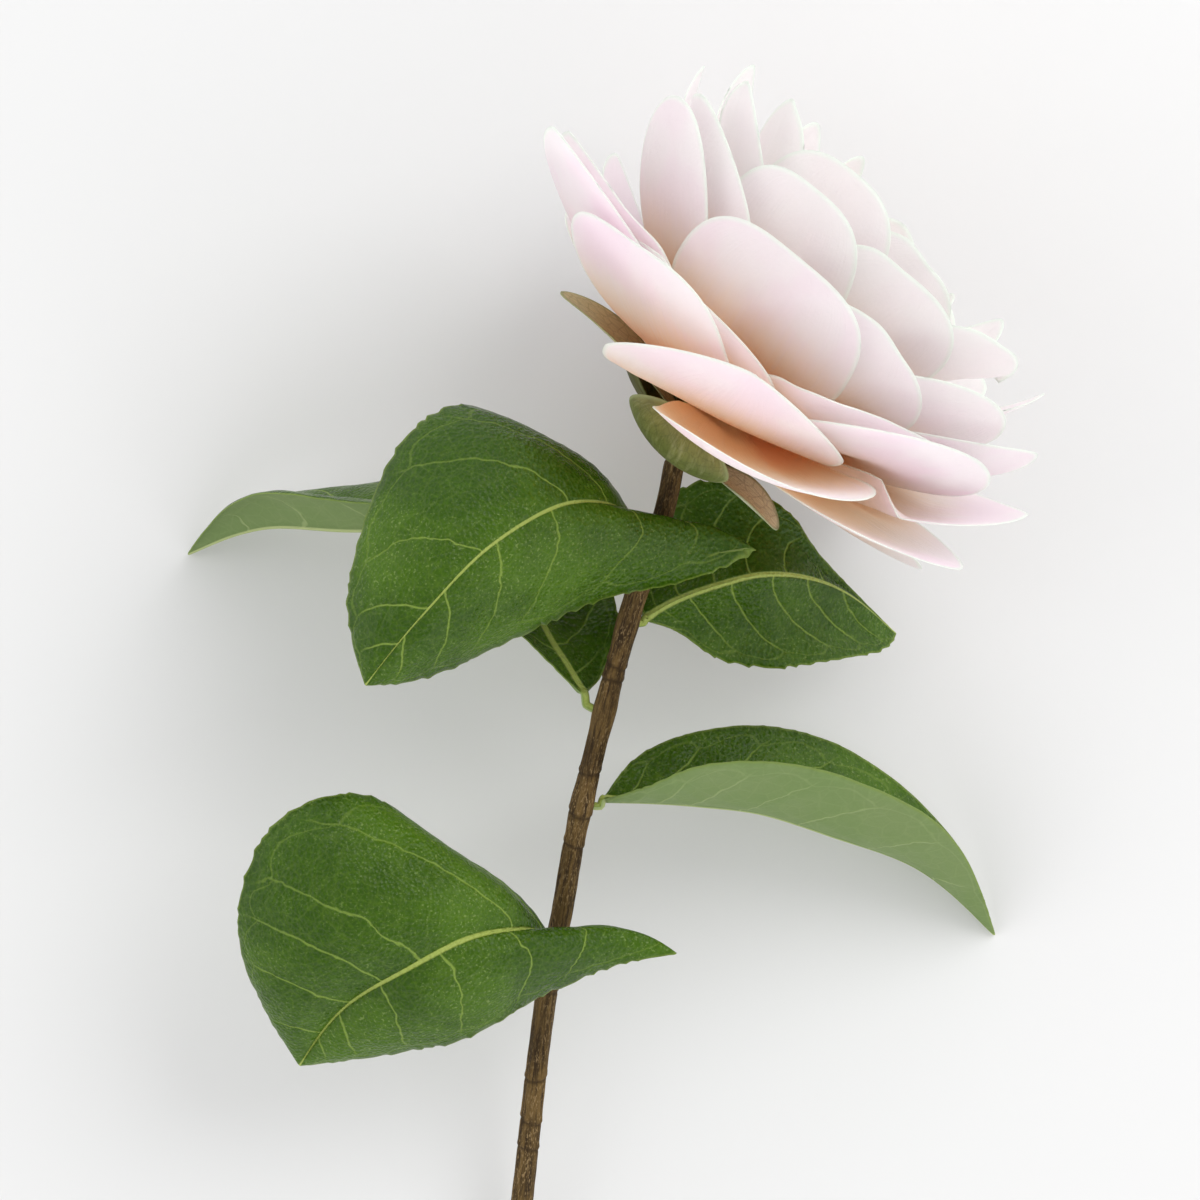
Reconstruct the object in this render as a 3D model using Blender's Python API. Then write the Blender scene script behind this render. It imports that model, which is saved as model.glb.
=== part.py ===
"""A camellia flower on its cut, leafy stem, lying on its side.

Lengths are millimetres until a mesh is made, and angles are degrees. The drawing frame has the surface
that the flower lies on at height 0. The head has a frame of its own, an empty whose Z runs along the
flower's axis, and an angle "around" that axis counts from straight up (0) toward the lower right (90).
Every petal and sepal is laid out on a fine sheet, and its solid uses every fourth point of it.
"""
import bmesh
import bpy
import numpy as np
from mathutils import Matrix

MM = 0.001
BOX_MIDDLE = (1.0, -17.2)         # middle of the model's box, in the drawing frame

# ---- flower head ------------------------------------------------------------------------------------
HEAD = (19.3, 31.7, 48.0)        # the point of the axis where the outermost petal is seated
HEAD_TURN = 50.0                 # direction of the axis, from +X toward +Y
RECEPTACLE = ((-11.0, 1.0), (-7.0, 4.2), (-2.0, 4.8), (2.0, 4.4), (13.0, 1.2))   # height, radius
RECEPTACLE_SIDES = 16
SEAT_GAP = 0.5                   # between the receptacle and the foot of a petal or sepal
PETAL_RISE = 0.28                # each petal is seated this much higher than the one outside it
FIRST_OPENING = 101.0            # angle between the axis and the outermost petal, at its foot
OPENING_FALL = 0.030             # and how that angle falls with the square of the petal's number
PETAL_THICKNESS = 0.32
PETAL_GAP = 1.0                  # between the sheets of two petals that lie on each other
FREE_LENGTH, FULL_LENGTH = 5.0, 10.0     # petals only make way for each other this far from their feet
FLOOR_GAP = 0.25                 # between the surface and the sheet of a petal that lies on it

PETAL_FOOT, PETAL_WIDEST = 0.12, 0.62    # width at the foot, and how far along it is full
SEPAL_FOOT, SEPAL_WIDEST, SEPAL_TIP, SEPAL_BASE = 0.30, 0.55, 2.0, 1.25

# around the axis, lean from it, reach, width, cup, roll, tip (2 round, less is pointed), base (less is
# broader near the foot) and what is added to the opening; outermost first
PETALS = (
    (120, 87.5, 47, 44, 18, 0, 1.8, 1.25, 0),
    (66, 84.5, 52, 38, 14, 16, 1.6, 1.25, 0),
    (-165, 77, 53, 42, 20, 0, 2.0, 1.25, 0),
    (21, 93.5, 50, 40, 26, 20, 2.2, 1.1, 12),
    (152, 80, 53, 42, 20, 0, 2.0, 1.25, 0),
    (-138, 76, 53, 40, 20, 0, 2.0, 1.25, 0),
    (1.5, 82.5, 50, 43, 6, 14, 1.6, 0.6, 12),
    (-34, 77.5, 50, 36, 10, 3, 3.0, 0.7, 0),
    (118, 80, 42, 30, 14, 6, 1.5, 0.9, 0),
    (80, 69, 55, 40, 14, 17, 1.6, 1.25, 0),
    (178, 74, 53, 40, 20, 0, 2.0, 1.25, 0),
    (50, 68, 53, 43, 12, 9, 1.9, 1.25, 0),
    (-68, 71.7, 56.5, 46, 16, 0, 1.6, 1.25, 0),
    (-28, 76, 44, 42, 12, 0, 2.0, 1.0, 0),
    (-70, 69.5, 54, 50, 16, 0, 1.5, 1.25, 0),
    (38, 76, 49, 38, 14, 0, 2.0, 1.25, 0),
    (-122, 64, 54, 24, 18, 0, 1.5, 1.25, 0),
    (-7, 58.5, 49.2, 35.5, 14, 0, 3.0, 1.25, 0),
    (72, 59.5, 55, 34, 18, 0, 1.5, 1.25, 0),
    (155, 60, 53, 38, 22, 0, 2.0, 1.25, 0),
    (-155, 60, 53, 38, 22, 0, 2.0, 1.25, 0),
    (20, 60, 49, 34, 16, 0, 2.0, 1.25, 0),
    (-61, 50.5, 54.5, 29.5, 18, 0, 2.1, 1.25, 0),
    (54, 56, 52, 33, 18, 0, 2.0, 1.25, 0),
    (-140, 48, 53, 36, 22, 0, 1.8, 1.25, 0),
    (94, 47, 55, 26, 20, 0, 1.4, 1.25, 0),
    (-98, 42, 58, 24, 20, 0, 1.4, 1.25, 0),
    (135, 48, 53, 36, 22, 0, 1.8, 1.25, 0),
    (-63, 46, 54, 42, 20, 0, 1.6, 1.25, 0),
    (180, 46, 53, 36, 22, 0, 1.8, 1.25, 0),
    (-18, 43, 50, 27.5, 18, 0, 2.8, 1.25, 0),
    (112, 34, 52, 26, 22, 0, 1.5, 1.25, 0),
    (22, 44, 49.5, 31.5, 16, 0, 2.3, 1.25, 0),
    (-110, 35, 60, 26, 24, 0, 1.4, 1.25, 0),
    (60, 44, 52.5, 31, 18, 0, 1.9, 1.25, 0),
    (-62, 38, 56, 28, 20, 0, 1.4, 1.25, 0),
    (150, 36, 50, 34, 24, 0, 1.8, 1.25, 0),
    (-18, 30, 50, 27.5, 20, 0, 2.6, 1.25, 0),
    (-165, 28, 48, 32, 26, 0, 1.8, 1.25, 0),
    (25, 35, 48, 28.5, 20, 0, 2.0, 1.25, 0),
    (-58, 30, 54, 22, 24, 0, 1.4, 1.25, 0),
    (110, 25, 45, 22, 30, 0, 1.6, 1.25, 0),
    (-115, 22, 52, 22, 30, 0, 1.6, 1.25, 0),
    (20, 22, 44, 24, 34, 0, 1.7, 1.25, 0),
    (160, 14, 46, 22, 40, 0, 1.7, 1.25, 0),
    (-110, 10, 49, 20, 40, 0, 1.7, 1.25, 0),
)

# around the axis, seat height, opening at the foot, lean, reach, width, cup, roll; lowest first
SEPALS = {
    "sepal_right": (96, -8.2, 84, 112, 22.5, 11, 30, 22),
    "sepal_front": (-9, -9.9, 128, 104, 16, 22.5, 32, 0),
    "sepal_under_right": (160, -8.2, 96, 92, 20, 15, 35, 0),
    "sepal_under_left": (-160, -7.4, 94, 88, 21, 13, 35, 0),
    "sepal_back": (-120, -6.6, 98, 94, 20.5, 17, 35, 0),
    "sepal_left": (-91, -4.4, 72, 92.5, 32.5, 14, 20, -16),
}

# ---- stem ---------------------------------------------------------------------------------------------
STEM_ROUTE = (
    (12.35, 22.4, 48.0), (11.3, 17.0, 47.3), (6.5, 2.7, 43.6), (2.7, -11.1, 39.8),
    (-1.7, -29.0, 34.6), (-4.4, -40.9, 30.8), (-6.1, -50.8, 27.2), (-9.1, -66.8, 21.6),
    (-10.9, -81.0, 17.0), (-12.3, -93.5, 12.8), (-13.6, -104.5, 8.8), (-15.8, -124.0, 1.85),
)
STEM_RADIUS = (1.7, 1.9)         # at the flower and at the cut end
STEM_STEPS = 36
NODE_SWELL = 0.25                # the stem is this much thicker where a leaf leaves it
NODE_LENGTH = 3.0

# ---- leaves -------------------------------------------------------------------------------------------
STATIONS = (0, 0.15, 0.3, 0.45, 0.6, 0.8, 1)    # of the way along the blade
LEAF_THICKNESS = 0.5
STALK_THICKNESS = 1.3
STALK_WIDTH = 1.5
STALK_GAP = 0.8                 # between the stem and the end of a leaf stalk
LEAF_BULGE = 0.14                # how far each half of a blade swells, of its width
LEAF_ROWS, LEAF_COLUMNS, STALK_ROWS = 40, 16, 8

# The midrib starts where the stalk ends. Both edges start at the midrib's foot and end at its tip, and
# their points between lie at the stations. "face" says on which side of the sheet the upper face is.
LEAVES = {
    "leaf_upper_left": {
        "node": 3.0, "face": 1,
        "rib": ((7.4, 5.6, 48.2), (6, 11.5, 51.5), (2, 15.5, 58), (-6.5, 15.5, 65), (-17, 9.5, 68.5),
                (-29, -2.5, 68), (-38.5, -14, 64)),
        "left": ((-3.5, 20, 45.5), (-11.5, 27, 49.5), (-23, 32, 55), (-33, 25, 59), (-41, 3, 62)),
        "right": ((25, 8.5, 51), (14, 3.5, 48.5), (0, 0.5, 51), (-11, -4.5, 53), (-27, -12, 58)),
    },
    "leaf_lower_left": {
        "node": -62.0, "face": 1,
        "rib": ((-9.5, -60, 27.8), (-8.5, -57.5, 33), (-13, -55.5, 41), (-22, -56.5, 46), (-32, -61.5, 46),
                (-43, -68.5, 40), (-51, -79, 30)),
        "left": ((-14.5, -51.5, 32.5), (-24.5, -43, 39.5), (-39, -33, 44), (-53, -36.5, 46), (-60.5, -56, 42)),
        "right": ((12, -59.5, 34), (2, -61.5, 33), (-9, -66, 34), (-21, -73, 35), (-38, -77, 33)),
    },
    "leaf_upper_right": {
        "node": -3.8, "face": 1,
        "rib": ((7.8, -3, 40), (13, 0, 40.5), (20, 2.5, 40), (27, 4.2, 38.5), (34, 4, 33),
                (42.5, 1, 25), (51, -5.8, 15)),
        "left": ((6, 5, 38), (13, 17.5, 36), (23, 19.5, 36), (31.5, 15, 33), (38, 7, 27)),
        "right": ((13, -5, 37.5), (20, -9.5, 35), (29, -11, 32), (38.5, -10.2, 28), (48, -8.5, 20)),
    },
    "leaf_lower_right": {
        "node": -34.6, "face": 1,
        "rib": ((0.8, -33.5, 33), (9, -33.8, 32.5), (17, -34.5, 31), (27.5, -36, 28), (39.5, -40, 23),
                (55.5, -46.5, 12), (69, -58.5, 0.4)),
        "left": ((7, -26.5, 26), (17.5, -22.5, 20), (30.5, -22, 14), (44, -26.5, 9), (61, -41, 3)),
        "right": ((8, -31, 42), (17, -27.5, 46), (29, -27, 45), (42, -30, 39.5), (59.5, -40, 26)),
    },
    "leaf_small": {
        "node": -18.9, "face": 1,
        "rib": ((-2.7, -15.5, 37), (-5, -11.5, 36), (-8, -7, 34), (-11, -1.5, 31), (-14, 4, 27),
                (-17.5, 10, 20), (-19.5, 14, 12)),
        "left": ((-7.5, -11, 38), (-13.5, -5, 38), (-18.5, 1, 35), (-22, 7.5, 30), (-23, 13, 20)),
        "right": ((0, -12.5, 34), (2.5, -5.5, 31), (2, 1, 26), (-1.5, 7, 20), (-10, 12, 14)),
    },
    "leaf_back_left": {
        "node": 8.0, "face": -1,
        "rib": ((2, 10, 41), (-6, 11, 39), (-16, 12, 37), (-28, 12.3, 33), (-42, 12, 27),
                (-58, 12.5, 15), (-72, 8, 0.4)),
        "left": ((-6, 14, 44), (-16, 15.5, 47), (-28, 15, 46), (-42.5, 16.5, 41), (-60, 17.5, 27)),
        "right": ((-5, 17, 33), (-15, 22, 25), (-28, 21, 17), (-42, 19.5, 11), (-59, 16.8, 5)),
    },
}

# ---- colours ------------------------------------------------------------------------------------------
PETAL_COLOURS = ((0.90, 0.62, 0.50), (0.93, 0.76, 0.70), (0.94, 0.84, 0.82))   # outer to inner
RECEPTACLE_COLOUR = (0.62, 0.66, 0.34)
SEPAL_COLOUR = (0.16, 0.20, 0.06)
LEAF_COLOUR = (0.045, 0.13, 0.02)
BARK_COLOUR = (0.12, 0.06, 0.035)


# ---- the head's sheets --------------------------------------------------------------------------------
ACROSS, ALONG = 24, 32           # cells of a fine sheet
COARSE = 4                       # the solid uses every fourth point


def seat_radius(height):
    """Radius of the receptacle at a height on the axis."""
    heights, radii = zip(*RECEPTACLE)
    return np.interp(height, heights, radii)


def round_sheet():
    """A square grid drawn onto a disc: how far each point is along the petal (0 to 1) and across (-1 to 1)."""
    u = np.linspace(-1, 1, ACROSS + 1)[None, :]
    w = np.linspace(-1, 1, ALONG + 1)[:, None]
    x = u * np.sqrt(1 - w * w / 2)
    y = w * np.sqrt(1 - u * u / 2)
    chord = np.sqrt(np.maximum(1 - y * y, 1e-12))
    return (1 + y) / 2, np.clip(x / chord, -1, 1)


def half_width(along, foot, widest, tip, base):
    """Outline of a petal: its half width, from 0 to 1, at each place along it."""
    grow = foot + (1 - foot) * np.sin(np.pi / 2 * np.clip(along / widest, 0, 1)) ** base
    past = np.clip((along - widest) / (1 - widest), 0, 1)
    return grow * (1 - past ** tip) ** (1 / tip)


def blade(around, height, opening, lean, reach, width, cup, roll, tip, foot, widest, base):
    """A petal or sepal as a curved sheet, in the head's frame.

    Its middle line is an arc in the plane at the angle "around". It leaves its seat at the angle
    "opening" from the axis and ends at the distance "reach" from the head's origin, in the direction
    "lean". Across, the sheet is an arc that bends toward the axis by "cup" at its edge.
    """
    along, across = round_sheet()
    start = np.array([height, seat_radius(height) + SEAT_GAP])
    lean = np.radians(lean)
    span = reach * np.array([np.cos(lean), np.sin(lean)]) - start
    direction = np.arctan2(span[1], span[0])
    half_turn = np.radians(opening) - direction
    length = np.hypot(*span) * half_turn / np.sin(half_turn)
    steps = np.linspace(0, 1, 81)
    angle = direction + half_turn * (1 - 2 * steps)
    heading = np.stack([np.cos(angle), np.sin(angle)], 1) * length
    walked = np.cumsum((heading[1:] + heading[:-1]) / 2, 0) / (len(steps) - 1)
    middle = start + np.vstack([np.zeros(2), walked])
    rise = np.interp(along, steps, middle[:, 0])
    radius = np.interp(along, steps, middle[:, 1])
    angle = np.interp(along, steps, angle)
    bend = np.radians(cup) * half_width(along, foot, widest, tip, base) * across
    curve_radius = width / 2 / np.radians(cup)
    sideways = curve_radius * np.sin(bend)
    inward = curve_radius * (1 - np.cos(bend))
    roll = np.radians(roll)
    sideways, inward = (sideways * np.cos(roll) - inward * np.sin(roll),
                        sideways * np.sin(roll) + inward * np.cos(roll))
    rise = rise + inward * np.sin(angle)
    radius = radius - inward * np.cos(angle)
    around = np.radians(around)
    return np.stack([radius * np.cos(around) - sideways * np.sin(around),
                     radius * np.sin(around) + sideways * np.cos(around), rise], -1)


# ---- making way: each petal's sheet clears the ones outside it -------------------------------------------
RADIUS_CELLS, TURN_CELLS = 70, 180        # cells of 1 mm and 2 degrees


def as_directions(points):
    """Distance from the head's origin, angle from the axis, and angle around it."""
    radius = np.linalg.norm(points, axis=-1)
    lean = np.arccos(np.clip(points[..., 2] / np.maximum(radius, 1e-6), -1, 1))
    return radius, lean, np.arctan2(points[..., 1], points[..., 0])


def cells(radius, around):
    """The map's cell for each distance and angle around."""
    row = np.clip(radius.astype(int), 0, RADIUS_CELLS - 1)
    column = np.round(around / (2 * np.pi) * TURN_CELLS).astype(int) % TURN_CELLS
    return row, column


def open_map():
    """For each cell, the widest lean that is free; at first, only the surface below takes any away."""
    radius = (np.arange(RADIUS_CELLS) + 0.5)[:, None]
    down = -np.cos(np.arange(TURN_CELLS) * 2 * np.pi / TURN_CELLS)[None, :]
    lowest = (HEAD[2] - FLOOR_GAP) / np.maximum(radius * np.maximum(down, 1e-6), 1e-6)
    return np.where((down > 0) & (lowest < 1), np.arcsin(np.clip(lowest, 0, 1)), np.pi)


def finer(grid, times):
    """The same grid with more points, halfway on straight lines."""
    rows, columns = grid.shape[:2]
    a = np.linspace(0, rows - 1, (rows - 1) * times + 1)
    b = np.linspace(0, columns - 1, (columns - 1) * times + 1)
    i = np.minimum(a.astype(int), rows - 2)
    j = np.minimum(b.astype(int), columns - 2)
    fa = (a - i)[:, None, None]
    fb = (b - j)[None, :, None]
    near = grid[i][:, j] * (1 - fa) + grid[i + 1][:, j] * fa
    far = grid[i][:, j + 1] * (1 - fa) + grid[i + 1][:, j + 1] * fa
    return near * (1 - fb) + far * fb


def window(field, pick):
    """Each value replaced by the largest, or the mean, of those within two cells of it."""
    for axis in (0, 1):
        pad = [(2, 2) if axis == side else (0, 0) for side in (0, 1)]
        wide = np.pad(field, pad, mode="edge")
        size = field.shape[axis]
        field = pick([np.take(wide, np.arange(k, k + size), axis) for k in range(5)], axis=0)
    return field


def make_way(points, free):
    """Lean a sheet toward the axis where it would come too near to what the map holds."""
    radius, lean, around = as_directions(points)
    limit = free[cells(radius, around)]
    excess = np.maximum(lean - (limit - PETAL_GAP / np.maximum(radius, 1)), 0)
    excess = np.where(limit > 3.1, 0, excess)
    from_foot = np.linalg.norm(points - points[0, ACROSS // 2], axis=-1)
    excess = excess * np.clip((from_foot - FREE_LENGTH) / (FULL_LENGTH - FREE_LENGTH), 0, 1)
    lean = lean - window(window(excess, np.max), np.mean)
    return np.stack([radius * np.sin(lean) * np.cos(around), radius * np.sin(lean) * np.sin(around),
                     radius * np.cos(lean)], -1)


def take_place(points, free):
    """Note on the map what a placed sheet leaves free for those inside it."""
    radius, lean, around = as_directions(finer(points, 3))
    margin = 0.6 / np.maximum(radius * np.sin(lean), 0.6)
    for step_out in (-0.6, 0, 0.6):
        for step_round in (-1, -0.5, 0, 0.5, 1):
            where = cells(np.maximum(radius + step_out, 0), around + step_round * margin)
            np.minimum.at(free, where, lean)


def head_sheets():
    """Every sepal and petal, by name, from the outside in."""
    free = open_map()
    sheets = {}
    for name, (around, height, opening, lean, reach, width, cup, roll) in SEPALS.items():
        sheets[name] = blade(around, height, opening, lean, reach, width, cup, roll, SEPAL_TIP,
                             SEPAL_FOOT, SEPAL_WIDEST, SEPAL_BASE)
    for number, (around, lean, reach, width, cup, roll, tip, base, more) in enumerate(PETALS):
        opening = FIRST_OPENING - OPENING_FALL * number ** 2 + more
        sheets[f"petal_{number + 1:02d}"] = blade(around, PETAL_RISE * number, opening, lean, reach, width,
                                                  cup, roll, tip, PETAL_FOOT, PETAL_WIDEST, base)
    for name, sheet in sheets.items():
        sheets[name] = make_way(sheet, free)
        take_place(sheets[name], free)
    return sheets


# ---- stem and leaves ------------------------------------------------------------------------------------
def through(knots, points, places):
    """Smooth curve through points at their knots, read at the places between."""
    knots = np.array(knots, float)
    points = np.array(points, float)
    slope = np.diff(points, axis=0) / np.diff(knots)[:, None]
    before, after = np.diff(knots)[:-1, None], np.diff(knots)[1:, None]
    inner = (slope[:-1] * after + slope[1:] * before) / (before + after)
    tangent = np.vstack([1.5 * slope[:1] - 0.5 * inner[:1], inner, 1.5 * slope[-1:] - 0.5 * inner[-1:]])
    places = np.atleast_1d(places)
    i = np.clip(np.searchsorted(knots, places, side="right") - 1, 0, len(knots) - 2)
    step = (knots[i + 1] - knots[i])[:, None]
    f = (places - knots[i])[:, None] / step
    return ((2 * f ** 3 - 3 * f ** 2 + 1) * points[i] + (f ** 3 - 2 * f ** 2 + f) * step * tangent[i]
            + (3 * f ** 2 - 2 * f ** 3) * points[i + 1] + (f ** 3 - f ** 2) * step * tangent[i + 1])


def stem_line(count):
    """Points along the middle of the stem, evenly spaced, and the stem's radius at each."""
    route = np.array(STEM_ROUTE)
    knots = np.concatenate([[0], np.cumsum(np.linalg.norm(np.diff(route, axis=0), axis=1))])
    places = np.linspace(0, knots[-1], count)
    line = through(knots, route, places)
    radius = np.interp(places, [0, knots[-1]], STEM_RADIUS)
    for leaf in LEAVES.values():
        radius = radius + NODE_SWELL * np.exp(-((line[:, 1] - leaf["node"]) / NODE_LENGTH) ** 2)
    return line, radius


def stem_at(y):
    """The stem's middle, direction and radius where it crosses y."""
    line, radius = stem_line(800)
    nearest = int(np.argmin(abs(line[:, 1] - y)))
    direction = line[nearest - 1] - line[nearest + 1]
    return line[nearest], direction / np.linalg.norm(direction), radius[nearest]


def unit(vectors):
    """Vectors of length 1."""
    return vectors / np.maximum(np.linalg.norm(vectors, axis=-1, keepdims=True), 1e-9)


def stalk_sheet(leaf, heading, chord, shares):
    """A leaf's stalk as a narrow sheet, from just outside the stem to the foot of the blade."""
    middle, direction, radius = stem_at(leaf["node"])
    foot = np.array(leaf["rib"][0], float)
    outward = foot - middle
    outward = unit(outward - outward @ direction * direction)
    seat = middle + outward * (radius + STALK_GAP)
    pull = np.linalg.norm(foot - seat) / 3
    t = np.linspace(0, 1, STALK_ROWS + 1)[:-1, None]
    after_seat, before_foot = seat + outward * pull, foot - heading * pull
    line = ((1 - t) ** 3 * seat + 3 * (1 - t) ** 2 * t * after_seat + 3 * (1 - t) * t ** 2 * before_foot
            + t ** 3 * foot)
    along = unit((1 - t) ** 2 * (after_seat - seat) + 2 * (1 - t) * t * (before_foot - after_seat)
                 + t ** 2 * (foot - before_foot))
    square = unit(chord - (along @ chord)[:, None] * along)
    return line[:, None] + square[:, None] * np.array(shares)[None, :, None] * STALK_WIDTH / 2


def leaf_sheet(leaf):
    """A leaf with its stalk as a curved sheet: rows run along it, columns across it."""
    x = np.linspace(0, 1, LEAF_ROWS + 1)
    along = (x + (1 - np.cos(np.pi * x)) / 2) / 2
    rounded = np.where(along < STATIONS[1], np.sqrt(along * STATIONS[1]), along)
    foot, tip = leaf["rib"][0], leaf["rib"][-1]
    rib = through(STATIONS, leaf["rib"], along)
    left = through(STATIONS, (foot, *leaf["left"], tip), rounded)
    right = through(STATIONS, (foot, *leaf["right"], tip), rounded)
    heading = unit(np.gradient(rib, axis=0))
    chord = left - right
    chord = unit(chord - (chord * heading).sum(1, keepdims=True) * heading)
    chord[0] = chord[1]
    chord[-1] = chord[-2]
    outward = np.cross(chord, heading) * leaf["face"]
    narrow = (STALK_WIDTH / 2 * (1 - along) ** 2)[:, None] * chord
    shares = np.linspace(-1, 1, LEAF_COLUMNS + 1)
    columns = []
    for across in shares:
        edge = left if across > 0 else right
        share = abs(across)
        swell = 4 * share * (1 - share) * LEAF_BULGE * np.linalg.norm(edge - rib, axis=1, keepdims=True)
        columns.append(rib + (edge - rib) * share + outward * swell + narrow * across)
    return np.vstack([stalk_sheet(leaf, heading[0], chord[0], shares), np.stack(columns, 1)])


# ---- Blender objects --------------------------------------------------------------------------------------
def clear_scene():
    """Remove the objects a new file starts with."""
    for thing in list(bpy.data.objects):
        bpy.data.objects.remove(thing, do_unlink=True)


def principled(name, colour, roughness):
    """A plain material of one colour."""
    material = bpy.data.materials.new(name)
    material.use_nodes = True
    shader = material.node_tree.nodes["Principled BSDF"]
    shader.inputs["Base Color"].default_value = (*colour, 1)
    shader.inputs["Roughness"].default_value = roughness
    shader.inputs["Metallic"].default_value = 0.0
    return material


def add(name, data, material, parent):
    """Link an object under its parent, with its material."""
    thing = bpy.data.objects.new(name, data)
    thing.data.materials.append(material)
    thing.parent = parent
    bpy.context.collection.objects.link(thing)
    return thing


def empty(name, parent, matrix):
    """An empty that carries other objects."""
    thing = bpy.data.objects.new(name, None)
    thing.parent = parent
    thing.matrix_local = matrix
    bpy.context.collection.objects.link(thing)
    return thing


def sheet_mesh(name, points):
    """A mesh of quads through a grid of points."""
    rows, columns = points.shape[:2]
    number = np.arange(rows * columns).reshape(rows, columns)
    quads = np.stack([number[:-1, :-1], number[:-1, 1:], number[1:, 1:], number[1:, :-1]], -1)
    mesh = bpy.data.meshes.new(name)
    mesh.from_pydata((points.reshape(-1, 3) * MM).tolist(), [], quads.reshape(-1, 4).tolist())
    mesh.shade_smooth()
    return mesh


def solidify(thing, thickness):
    """Give a sheet its thickness, half on each side."""
    modifier = thing.modifiers.new("thickness", "SOLIDIFY")
    modifier.thickness = thickness * MM
    modifier.offset = 0
    return modifier


def add_petals_and_sepals(head):
    """One thin solid for every sheet of the head."""
    for name, sheet in head_sheets().items():
        if name in SEPALS:
            colour, roughness = SEPAL_COLOUR, 0.55
        else:
            depth = (int(name[-2:]) - 1) / (len(PETALS) - 1) * (len(PETAL_COLOURS) - 1)
            low = min(int(depth), len(PETAL_COLOURS) - 2)
            pair = np.array(PETAL_COLOURS[low:low + 2])
            colour, roughness = pair[0] + (pair[1] - pair[0]) * (depth - low), 0.6
        mesh = sheet_mesh(name, sheet[::COARSE, ::COARSE])
        thing = add(name, mesh, principled(name, colour, roughness), head)
        solidify(thing, PETAL_THICKNESS)


def add_receptacle(head):
    """The turned core that carries the sepals and petals."""
    turned = bmesh.new()
    profile = [(RECEPTACLE[0][0], 0.0), *RECEPTACLE, (RECEPTACLE[-1][0], 0.0)]
    corners = [turned.verts.new((radius * MM, 0, height * MM)) for height, radius in profile]
    lines = [turned.edges.new(pair) for pair in zip(corners, corners[1:])]
    bmesh.ops.spin(turned, geom=corners + lines, axis=(0, 0, 1), cent=(0, 0, 0),
                   angle=2 * np.pi, steps=RECEPTACLE_SIDES, use_duplicate=False)
    bmesh.ops.remove_doubles(turned, verts=turned.verts, dist=0.01 * MM)
    bmesh.ops.recalc_face_normals(turned, faces=turned.faces)
    mesh = bpy.data.meshes.new("receptacle")
    turned.to_mesh(mesh)
    turned.free()
    add("receptacle", mesh, principled("receptacle", RECEPTACLE_COLOUR, 0.6), head)


def add_stem(root):
    """The woody stem: a round bar along its route, a little thicker at each leaf."""
    line, radius = stem_line(STEM_STEPS + 1)
    route = bpy.data.curves.new("stem", "CURVE")
    route.dimensions = "3D"
    route.bevel_depth = MM
    route.bevel_resolution = 3
    route.use_fill_caps = True
    spline = route.splines.new("POLY")
    spline.points.add(len(line) - 1)
    for point, place, size in zip(spline.points, line, radius):
        point.co = (*(place * MM), 1)
        point.radius = size
    add("stem", route, principled("stem", BARK_COLOUR, 0.8), root)


def add_leaves(root):
    """Six leaves, each a folded blade that runs into its stalk."""
    for name, leaf in LEAVES.items():
        sheet = leaf_sheet(leaf)[::COARSE, ::2]
        thing = add(name, sheet_mesh(name, sheet), principled(name, LEAF_COLOUR, 0.35), root)
        stalk = thing.vertex_groups.new(name="stalk")
        rows = STALK_ROWS // COARSE
        stalk.add(list(range(rows * sheet.shape[1])), 1.0, "REPLACE")
        modifier = solidify(thing, STALK_THICKNESS)
        modifier.vertex_group = "stalk"
        modifier.thickness_vertex_group = LEAF_THICKNESS / STALK_THICKNESS


def build():
    """The whole flower."""
    clear_scene()
    root = empty("camellia", None, Matrix.Translation([-BOX_MIDDLE[0] * MM, -BOX_MIDDLE[1] * MM, 0]))
    turn = np.radians(HEAD_TURN)
    axes = Matrix(((0, 0, 1), (np.sin(turn), -np.cos(turn), 0), (np.cos(turn), np.sin(turn), 0)))
    place = Matrix.Translation([value * MM for value in HEAD]) @ axes.transposed().to_4x4()
    head = empty("head", root, place)
    add_receptacle(head)
    add_petals_and_sepals(head)
    add_stem(root)
    add_leaves(root)
    bpy.context.view_layer.update()


if __name__ == "__main__":
    build()
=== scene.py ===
"""Looks of the camellia: petals, calyx, leaves and stem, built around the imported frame.

Lengths are millimetres until a mesh is made, and angles are degrees. The drawing frame has the surface
that the flower lies on at height 0. The head has a frame of its own, whose Z runs along the flower's
axis, and an angle "around" that axis counts from straight up (0) toward the lower right (90).
"""

import bpy
import numpy as np
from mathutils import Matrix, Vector


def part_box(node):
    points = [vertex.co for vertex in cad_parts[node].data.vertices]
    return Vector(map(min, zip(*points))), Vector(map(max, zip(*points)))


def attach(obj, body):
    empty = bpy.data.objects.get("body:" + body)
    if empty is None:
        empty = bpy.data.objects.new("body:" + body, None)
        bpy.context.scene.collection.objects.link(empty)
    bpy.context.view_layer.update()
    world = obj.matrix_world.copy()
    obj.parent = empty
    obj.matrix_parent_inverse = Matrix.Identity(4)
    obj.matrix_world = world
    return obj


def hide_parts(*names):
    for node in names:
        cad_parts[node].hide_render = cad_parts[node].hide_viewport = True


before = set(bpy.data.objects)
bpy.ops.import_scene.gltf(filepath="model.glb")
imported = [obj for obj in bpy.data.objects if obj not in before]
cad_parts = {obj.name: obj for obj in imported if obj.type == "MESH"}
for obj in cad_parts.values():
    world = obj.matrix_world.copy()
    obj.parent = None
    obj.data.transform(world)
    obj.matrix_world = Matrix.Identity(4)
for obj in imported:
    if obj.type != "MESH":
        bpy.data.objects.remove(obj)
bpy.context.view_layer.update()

MM = 0.001

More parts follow.
